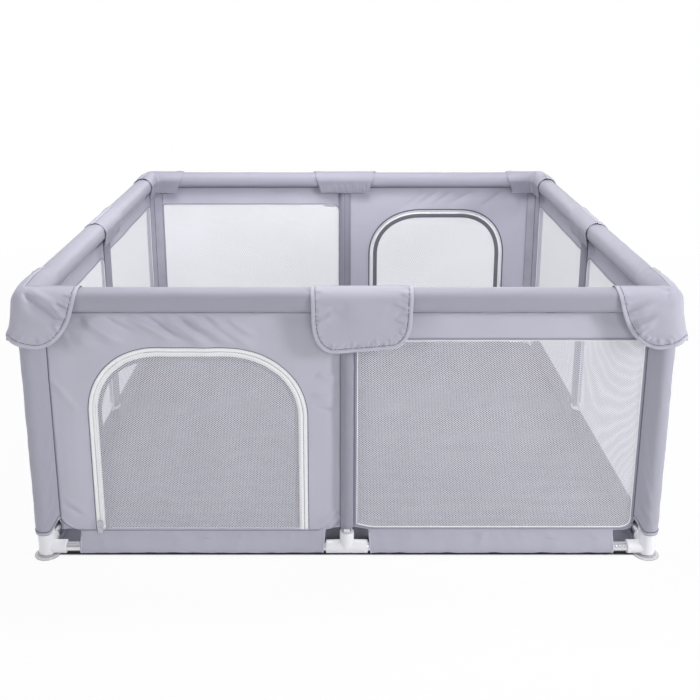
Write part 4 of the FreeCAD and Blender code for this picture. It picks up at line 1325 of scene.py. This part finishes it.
flap = {"radius": 0.0316, "thickness": 0.0010, "spacing": 0.0034, "binding": 0.0088,
        "bindingThickness": 0.0026, "corner": 0.068, "innerTop": 0.219, "innerFoot": 0.183,
        "innerFootHeight": 0.6030, "hangBack": 0.010, "deepest": -0.0060, "turning": -0.008,
        "columnStep": 0.0035, "lift": 0.0022, "ripple": (0.10, 0.0009), "pullWidth": 0.0038,
        "pullHeight": 0.0030, "pullSpacing": 0.012, "pullLength": 0.020,
        "foot": {"front": (0.532, 0.541), "other": (0.538, 0.5375)}}
quarterTurn = flap["radius"] * quarter  # cloth used going over the rail
insideDrop = quarterTurn + railHeight - flap["innerFootHeight"]


def overRail(down):
    # how far a point is from the ridge, its height, and its turn: over the rail and then straight down
    turn = np.clip(down, 0, quarterTurn) / flap["radius"]
    height = railHeight + flap["radius"] * np.cos(turn) - np.maximum(down - quarterTurn, 0)
    return flap["radius"] * np.sin(turn), height, turn


def puckers(line, seed):
    # short pulls in the cloth beside a stitched edge
    f, step = flap, 0.003
    line = resampled(line, step)
    inwards = inwardNormals(line, False)
    random = np.random.default_rng(seed)
    folds, at = [], 2
    while at < len(line) - 2:
        reach = f["pullLength"] * random.uniform(0.5, 1.2)
        lean = random.uniform(-0.3, 0.3)
        n = inwards[at] + lean * np.array([inwards[at][1], -inwards[at][0]])
        start = line[at] + inwards[at] * 0.0068
        folds.append((*start, *(start + n * reach), f["pullWidth"], f["pullHeight"] * random.uniform(0.4, 1.0)))
        at += max(1, int(round(f["pullSpacing"] * random.uniform(0.6, 1.5) / step)))
    return folds


def flapHem(low, high, footLow, footHigh):
    # down one side, along the hem and up the other, anticlockwise round the flap; v is negative downwards
    r = flap["corner"]
    turn = [(0.003, 1.05), (0.007, 0.62), (0.018, 0.28), (0.036, 0.06), (0.062, 0.0)]
    line = [(low, -0.0004), (low + 0.0015, -0.045)] + [(low + u, footLow + r * v) for u, v in turn]
    line += [(high - u, footHigh + r * v) for u, v in turn[::-1]] + [(high - 0.0015, -0.045), (high, -0.0004)]
    return curveThrough(line, 0.005)


def flapPieces(node, surface, hem, angle, seed, extraFolds):
    # the cloth, its bound edge and the stitching along it
    f = flap
    pulls = puckers(hem, seed) + extraFolds

    def place(flat):
        out = foldField(flat, pulls) + ripple(flat, seed, *f["ripple"]) * smooth(-flat[:, 1], 0.03, 0.08)
        return surface(flat) + normalsOf(surface, flat) * np.maximum(out, f["deepest"])[:, None]

    def edging(suffix, line, section, finish):
        return bindingPiece(node + suffix, [strip(place, line, section)], angle, finish, node, node)

    outline = np.vstack([hem, resampled(np.array([hem[-1], hem[0]]), 0.006)[1:-1]])
    bound = edging("_bound_edge", hem, flatSection(f["binding"], f["bindingThickness"]), "binding")
    clothPiece(node + "_cloth", outline, place, angle, "flap", f["spacing"], f["thickness"], node,
               body=node)
    # a dark strip inside the binding: painted shade along its edge
    inner = hem + inwardNormals(hem, False) * (f["binding"] + 0.0002)
    edging("_edge_seam", inner, sections["flapSeam"], "seam")
    away = hem[hem[:, 1] < f["turning"]]  # no stitches where the flap turns
    stitchOn(node, place, away, f["binding"] - 0.0018, f["bindingThickness"] / 2 + 0.0001, angle)


def insidePieces(node, grid, out, angle, proud):
    # a flap's inner part, its hem, and the stitches along it, with a dark strip of painted shade above the hem
    loftPiece(node + "_inside", grid, angle, "inside", flap["thickness"], "flap_inner_parts")
    foot, step = grid[-1], flap["columnStep"]
    hem = [(0.0010, -0.0003), (proud, 0.005), (-0.0008, 0.005), (-0.0008, -0.0003)]
    bindingPiece(node + "_inside_hem", [ribbon(foot, out, hem, step, (0, 0.005, 0.007, 0.012))], angle,
                 replaces="flap_inner_parts")
    stitched("frame", turned(foot + out * (proud + 0.0002) + (0, 0, 0.0042), angle))
    seam = metres((0.4, 5.0), (1.7, 5.2), (1.7, 6.4), (0.4, 6.6))
    bindingPiece(node + "_inside_seam", [ribbon(foot, out, seam, step)], angle, "seam",
                 replaces="flap_inner_parts")


def middleSurface(flat):
    away, z, _ = overRail(-flat[:, 1])
    lift = smooth(-flat[:, 1], 0.06, 0.16) * flap["lift"]  # the loose end stands off a little
    return np.stack([flat[:, 0], -postReach - away - lift, z], -1)


def middleInside(centre, seed):
    # narrower towards its gathered hem
    f, rows, columns = flap, 26, 56
    down = np.linspace(0.0004, insideDrop, rows)[:, None]
    share = down / insideDrop
    halfWidth = f["innerTop"] / 2 + (f["innerFoot"] - f["innerTop"]) / 2 * smooth(share, 0.25, 1.0)
    x = centre + np.linspace(1, -1, columns) * halfWidth
    flat = np.stack(np.broadcast_arrays(x, -down), -1).reshape(-1, 2)
    random = np.random.default_rng(seed)
    gathers = [(c, -insideDrop, c + random.uniform(-0.008, 0.008), -insideDrop + random.uniform(0.025, 0.05),
                0.0035, random.uniform(0.0008, 0.0022))
               for c in centre + np.linspace(-0.085, 0.085, 13) + random.uniform(-0.004, 0.004, 13)]
    out = (foldField(flat, gathers) + ripple(flat, 131, 0.05, 0.0006) * share.repeat(columns, 1).ravel())
    out = out.reshape(x.shape)
    away, z, turn = overRail(down)
    y, z = -postReach + away + out * np.sin(turn), z + out * np.cos(turn)
    back = np.clip((railHeight - z) / (railHeight - f["innerFootHeight"]), 0, 1)
    return gridOf(x, y - f["hangBack"] * back, z)


middleFolds = {  # from the flap's left or right edge
    1: metres((30, -52, 85, -100, 20, -2.6), (75, -50, 150, -70, 22, 2.4), (10, -62, 50, -55, 5.5, 3.4),
              (10, -78, 45, -72, 4.6, -2.6), (11, -94, 44, -82, 5.0, 3.0)),
    -1: metres((-11, -60, -46, -48, 5.5, 3.0), (-11, -80, -40, -72, 4.5, -2.6),
               (-12, -96, -42, -84, 5.0, 3.4), (-60, -50, -100, -120, 20, 1.8)),
}
for number, (side, angle) in enumerate(sides.items()):
    node = "middle_flap_" + side
    left, right = sorted(ownBox(node, angle)[:, 0])
    feet = [-(quarterTurn + railHeight - height) for height in flap["foot"].get(side, flap["foot"]["other"])]
    soft = [(edge + u1, v1, edge + u2, *rest) for edge, hand in ((left, 1), (right, -1))
            for u1, v1, u2, *rest in middleFolds[hand]]
    flapPieces(node, middleSurface, flapHem(left, right, *feet), angle, 111 + number, soft)
    insidePieces(node, middleInside((left + right) / 2, 121 + number), np.array((0, 1, 0)), angle, 0.0012)
print("middle flaps made")


# caps over the corners

cap = {"front": 0.124, "side": 0.150, "inset": 0.004, "fold": 0.0279, "flare": 0.019, "stand": 0.0055,
       "full": 0.008, "innerRound": 0.012, "tightRound": 0.0035, "bend": 0.12, "drawnIn": 0.022,
       "rise": 0.0045, "flareTop": 0.030, "flareDepth": 0.107, "flareWidth": 0.062, "loose": 0.0020,
       "wave": 0.0011}
diagonal = 0.7071


def capRise(arm):
    # the side arm is a little high on its rail, and comes down again at its end
    return cap["rise"] * smooth(arm, 0.030, 0.090) * (1 - 0.5 * smooth(arm, 0.120, 0.150))


def capSurface(toLeft, toRight):
    # u runs from the left arm's end, through the corner at 0, to the right arm's end
    def place(flat):
        u, down = flat[:, 0], -flat[:, 1]
        away, z, turn = overRail(down)
        away = away + cap["inset"]
        aim = -0.75 * math.pi + np.clip(u / cap["fold"], -1, 1) * math.pi / 4
        past = np.maximum(np.abs(u) - cap["fold"], 0)
        centre = -postReach + cap["inset"]
        deep = np.clip((down - cap["flareTop"]) / cap["flareDepth"], 0, 1.15)
        flare = cap["flare"] * deep ** 1.3 * np.exp(-(u / cap["flareWidth"]) ** 2)
        arm = u * (-1 if toLeft > toRight else 1)
        stand = cap["stand"] * smooth(arm, 0.015, 0.080) * (1 - 0.45 * smooth(arm, 0.115, 0.150))
        stand = stand * smooth(turn, 0.0, 1.2)
        full = cap["full"] * between(-arm, -0.010, 0.050, 0.085, 0.122) * smooth(down, 0.030, 0.085)
        full = full * (1 - 0.5 * smooth(down, 0.115, 0.150))
        out = cap["loose"] * smooth(down, 0.07, 0.15) + (stand + full) * np.sin(turn)
        x = centre + away * np.cos(aim) + np.where(u > 0, past, 0)
        y = centre + away * np.sin(aim) + np.where(u < 0, past, 0)
        x = x - flare * diagonal - np.where(u < 0, out, 0)
        y = y - flare * diagonal - np.where(u > 0, out, 0)
        return np.stack([x, y, z + capRise(arm) * np.cos(turn) * (down < quarterTurn)], -1)

    return place


def capHem(toLeft, toRight):
    start, arm = (0.0, -0.1325), metres((12, -137.0), (35, -146.5), (62, -151.5))
    far = metres((88, -142.0), (110, -120.0), (126, -92.0), (137, -61.0), (144.5, -29.0), (148, -0.5))
    left, right = (arm + [(u + (length - cap["front"]), v) for u, v in far] for length in (toLeft, toRight))
    return curveThrough([(-u, v) for u, v in left][::-1] + [start] + right, 0.005)


capFolds = {
    "front_left": metres(
        (26, -24, 120, -96, 8.5, -10.5), (44, -18, 124, -66, 14, 4.0), (18, -50, 95, -112, 18, 3.6),
        (92, -50, 122, -80, 6.0, 4.6), (102, -46, 128, -66, 4.6, -3.4), (129, -56, 104, -46, 4.4, 3.6),
        (125, -69, 98, -58, 4.2, 3.8), (119, -83, 94, -70, 4.4, 4.0), (106, -108, 90, -90, 4.2, 3.8),
        (98, -117, 83, -98, 4.2, -3.0), (20, -10, 60, -14, 6, 1.6), (-20, -20, -30, -110, 14, -2.0)),
    "front_right": metres(
        (-130, -60, -70, -40, 8.0, -3.4), (-127, -72, -66, -50, 6.0, 3.4), (-121, -86, -60, -70, 8.0, -3.2),
        (-111, -104, -60, -80, 7.0, 3.2), (-20, -10, -55, -8, 5.5, 2.4), (-10, -18, -50, -22, 5.5, -2.0),
        (-100, -116, -70, -92, 5.5, 2.8), (14, -30, 22, -120, 12, -2.0)),
    "back_right": metres((30, -30, 105, -85, 10, -5.0), (-120, -60, -60, -50, 7, 2.8)),
    "back_left": metres((-30, -30, -105, -85, 10, -5.0), (120, -60, 60, -50, 7, 2.8)),
}


def capInside(toLeft, toRight, where, seed):
    # gathered into the seam at the inner corner
    bend, tight = cap["bend"], cap["tightRound"]
    down = np.linspace(0.0004, insideDrop, 28)
    reaches, heights, turns = overRail(down)
    grid = np.empty((len(down), len(where), 3))
    for row, (share, turn, z) in enumerate(zip(down / insideDrop, turns, heights)):
        d = reaches[row] - flap["hangBack"] * max(down[row] - quarterTurn, 0) / (insideDrop - quarterTurn)
        curve = tight + (cap["innerRound"] - tight) * share
        for column, c in enumerate(where):
            if abs(c) < bend:
                aim = math.radians(225 + c / bend * 45)
                centre = -postReach + d + curve
                x, y = centre + curve * math.cos(aim), centre + curve * math.sin(aim)
                out, arm = (diagonal, diagonal), 0.0
            else:
                t = (abs(c) - bend) / (1 - bend)
                length = (toRight if c > 0 else toLeft) - cap["drawnIn"] * float(smooth(share, 0.2, 1.0))
                far, near = -postReach + (d + curve) * (1 - t) + length * t, -postReach + d
                x, y, out = (far, near, (0, 1)) if c > 0 else (near, far, (1, 0))
                isSide = (c > 0) == (toRight > toLeft)
                arm = far + postReach + cap["fold"] - cap["inset"] if isSide else 0.0
            wave = cap["wave"] * share * math.sin(abs(c) * 58 + seed) * math.exp(-(c / 0.42) ** 2)
            rise = float(capRise(arm)) * math.cos(turn) ** 2
            grid[row, column] = (x + wave * out[0], y + wave * out[1], z + rise)
    return grid


for number, (corner, angle) in enumerate(corners.items()):
    node, seed = "corner_flap_" + corner, 141 + number
    swapped = corner in ("front_right", "back_left")
    toLeft, toRight = (cap["front"], cap["side"]) if swapped else (cap["side"], cap["front"])
    random = np.random.default_rng(seed)
    gather = [(u, -0.003, u * 1.3, random.uniform(-0.045, -0.025), 0.0028, random.uniform(-0.0014, 0.0014))
              for u in np.linspace(-0.030, 0.030, 8)]
    far = -1 if toLeft > toRight else 1  # small gathers where the side arm ends on top
    gather += [(far * (0.148 - k * 0.011), -0.002 - 0.004 * k, far * (0.112 - k * 0.010), -0.012 - 0.007 * k,
                0.0032, 0.0022 * (-1) ** k) for k in range(4)]
    flapPieces(node, capSurface(toLeft, toRight), capHem(toLeft, toRight), angle, seed,
               capFolds[corner] + gather)
    where = np.linspace(1, -1, 81)
    left, right = where < -cap["bend"] / 2, where > cap["bend"] / 2
    out = gridOf(np.where(left, 1.0, np.where(right, 0.0, diagonal)),
                 np.where(right, 1.0, np.where(left, 0.0, diagonal)), 0)
    insidePieces(node, capInside(toLeft, toRight, where, seed), out, angle, 0.0013)
print("corner caps made")


# floor mat

matSizes = {"thickness": 0.0040, "cornerCut": 0.032, "spacing": 0.022, "binding": 0.012,
            "bindingThickness": 0.0046, "middle": 0.0034}


def matSurface(flat):
    return gridOf(flat[:, 0], flat[:, 1],
                  matSizes["middle"] + ripple(flat, 161, 0.45, 0.0005) + ripple(flat, 162, 0.17, 0.0003))


def matOutline():
    edge = reachOf("floor_mat", 0, 1)
    start = postReach - math.sqrt(matSizes["cornerCut"] ** 2 - (postReach - edge) ** 2)
    cut = arc((postReach, postReach), matSizes["cornerCut"], 260, 190, 9)
    cut = np.array([(edge, start)] + cut[1:-1] + [(start, edge)])
    return ringOf(np.vstack([turned(cut, number * quarter) for number in range(4)]), 0.012)


outline = matOutline()
section = flatSection(matSizes["binding"], matSizes["bindingThickness"])
bound = bindingPiece("floor_mat_bound_edge", [strip(matSurface, outline, section, closed=True)], 0.0, "mat",
                     replaces="floor_mat")
clothPiece("floor_mat_cloth", outline, matSurface, 0.0, "mat", matSizes["spacing"], matSizes["thickness"],
           "floor_mat")
print("floor mat made")


# finishes on the hard parts, and all the stitching

hardFinishes = {"steel": ("corner_post", "middle_post", "lower_rails", "upper_rails"),
                "plastic": ("lower_corner", "lower_tee", "upper_corner", "upper_tee"),
                "rubber": ("suction_cups",), "slider": ("front_zip", "back_zip")}
for node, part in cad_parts.items():
    for finish, starts in hardFinishes.items():
        if node.startswith(starts):
            part.data.materials.clear()
            part.data.materials.append(finishes[finish])
for body, lines in stitchLines.items():
    rowPiece("stitching_" + body, stitchRow, lines, body, "thread", Pitch=0.0045)
print("stitching rows:", sum(len(lines) for lines in stitchLines.values()))


# floor, lights and camera

def whiteBehind(name, base, share):
    # plain white where the camera looks past the object, with the object's shadow kept, and a painted shadow on
    # the floor right under it
    f = Finish(name)
    x, y, _ = f.parts(f.place())
    far = (x * x + y * y).above(5.0, 6.0)
    out = x.size().maths("MAXIMUM", y.size())
    seen = f.rays() * (far * (1 - share) + share) * out.above(0.7315, 0.003)
    # painted shadow: the floor's own colour is dark under the object
    under = shaded(base, 0.12)  # dark right under the object, where no light gets
    plain = f.node("ShaderNodeBsdfDiffuse", values={"Color": f.mixed(out.above(0.7290, 0.004), under, base)})
    glow = f.node("ShaderNodeEmission", values={"Color": (1, 1, 1, 1), "Strength": 1.0})
    return f.end(f.node("ShaderNodeMixShader", values={0: seen, 1: plain, 2: glow}))


def whiteStudio(name):
    # darker on the side that it is viewed from, in what shines
    f = Finish(name, bpy.data.worlds)
    _, y, _ = f.parts(f.node("ShaderNodeTexCoord"))
    strength = f.rays((y * -1).above(0.45, 0.7) * -0.5 + 0.75) * 0.76 + 0.24
    sky = f.node("ShaderNodeBackground", values={"Color": (1, 1, 1, 1), "Strength": strength})
    return f.end(sky, "World")


half, level = 14, -0.0004
floorMesh = bpy.data.meshes.new("floor")
around = ((-half, -half), (half, -half), (half, half), (-half, half))
floorMesh.from_pydata([(x, y, level) for x, y in around], [], [(0, 1, 2, 3)])
floorMesh.materials.append(whiteBehind("paleFloor", (0.9, 0.9, 0.9, 1), 0.93))
added("floor", floorMesh)
scene.world = whiteStudio("softStudio")

lamps = {
    "frontLamp": {"at": (1.0, -5.2, 2.6), "aim": (0, -0.3, 0.3), "size": (1.8, 1.2), "power": 38},
    "topLamp": {"at": (0.1, 0.2, 3.4), "aim": (0, 0.1, 0.2), "size": (2.2, 2.2), "power": 25},
    "backLamp": {"at": (-0.2, -0.25, 2.0), "aim": (0, 0.75, 0.36), "size": (1.6, 0.6), "power": 24},
    "rightLamp": {"at": (3.5, -2.2, 1.7), "aim": (0.1, -0.5, 0.4), "size": (0.7, 1.2), "power": 84},
    "rearLamp": {"at": (0.6, 5.0, 1.5), "aim": (0, 0.6, 0.35), "size": (2.4, 1.4), "power": 55},
    "leftLamp": {"at": (-3.2, -2.5, 1.4), "aim": (-0.1, -0.5, 0.4), "size": (0.7, 1.2), "power": 25},
}
for name, lamp in lamps.items():
    light = bpy.data.lights.new(name, "AREA")
    light.shape = "RECTANGLE"
    light.size, light.size_y = lamp["size"]
    light.energy = lamp["power"]
    holder = added(name, light)
    holder.location = lamp["at"]
    holder.visible_camera = False
    holder.rotation_euler = (Vector(lamp["aim"]) - Vector(lamp["at"])).to_track_quat("-Z", "Y").to_euler()

view = {"at": (-0.014, -2.759, 1.308), "down": 14.67, "lens": 48.6, "shift": (0.0128, -0.15)}
lens = bpy.data.cameras.new("camera")
lens.lens, lens.sensor_width = view["lens"], 36.0
lens.shift_x, lens.shift_y = view["shift"]
lens.clip_start, lens.clip_end = 0.05, 60.0
camera = added("camera", lens)
camera.location = view["at"]
camera.rotation_euler = (math.radians(90 - view["down"]), 0.0, 0.0)
scene.camera = camera
scene.view_settings.view_transform = "Standard"
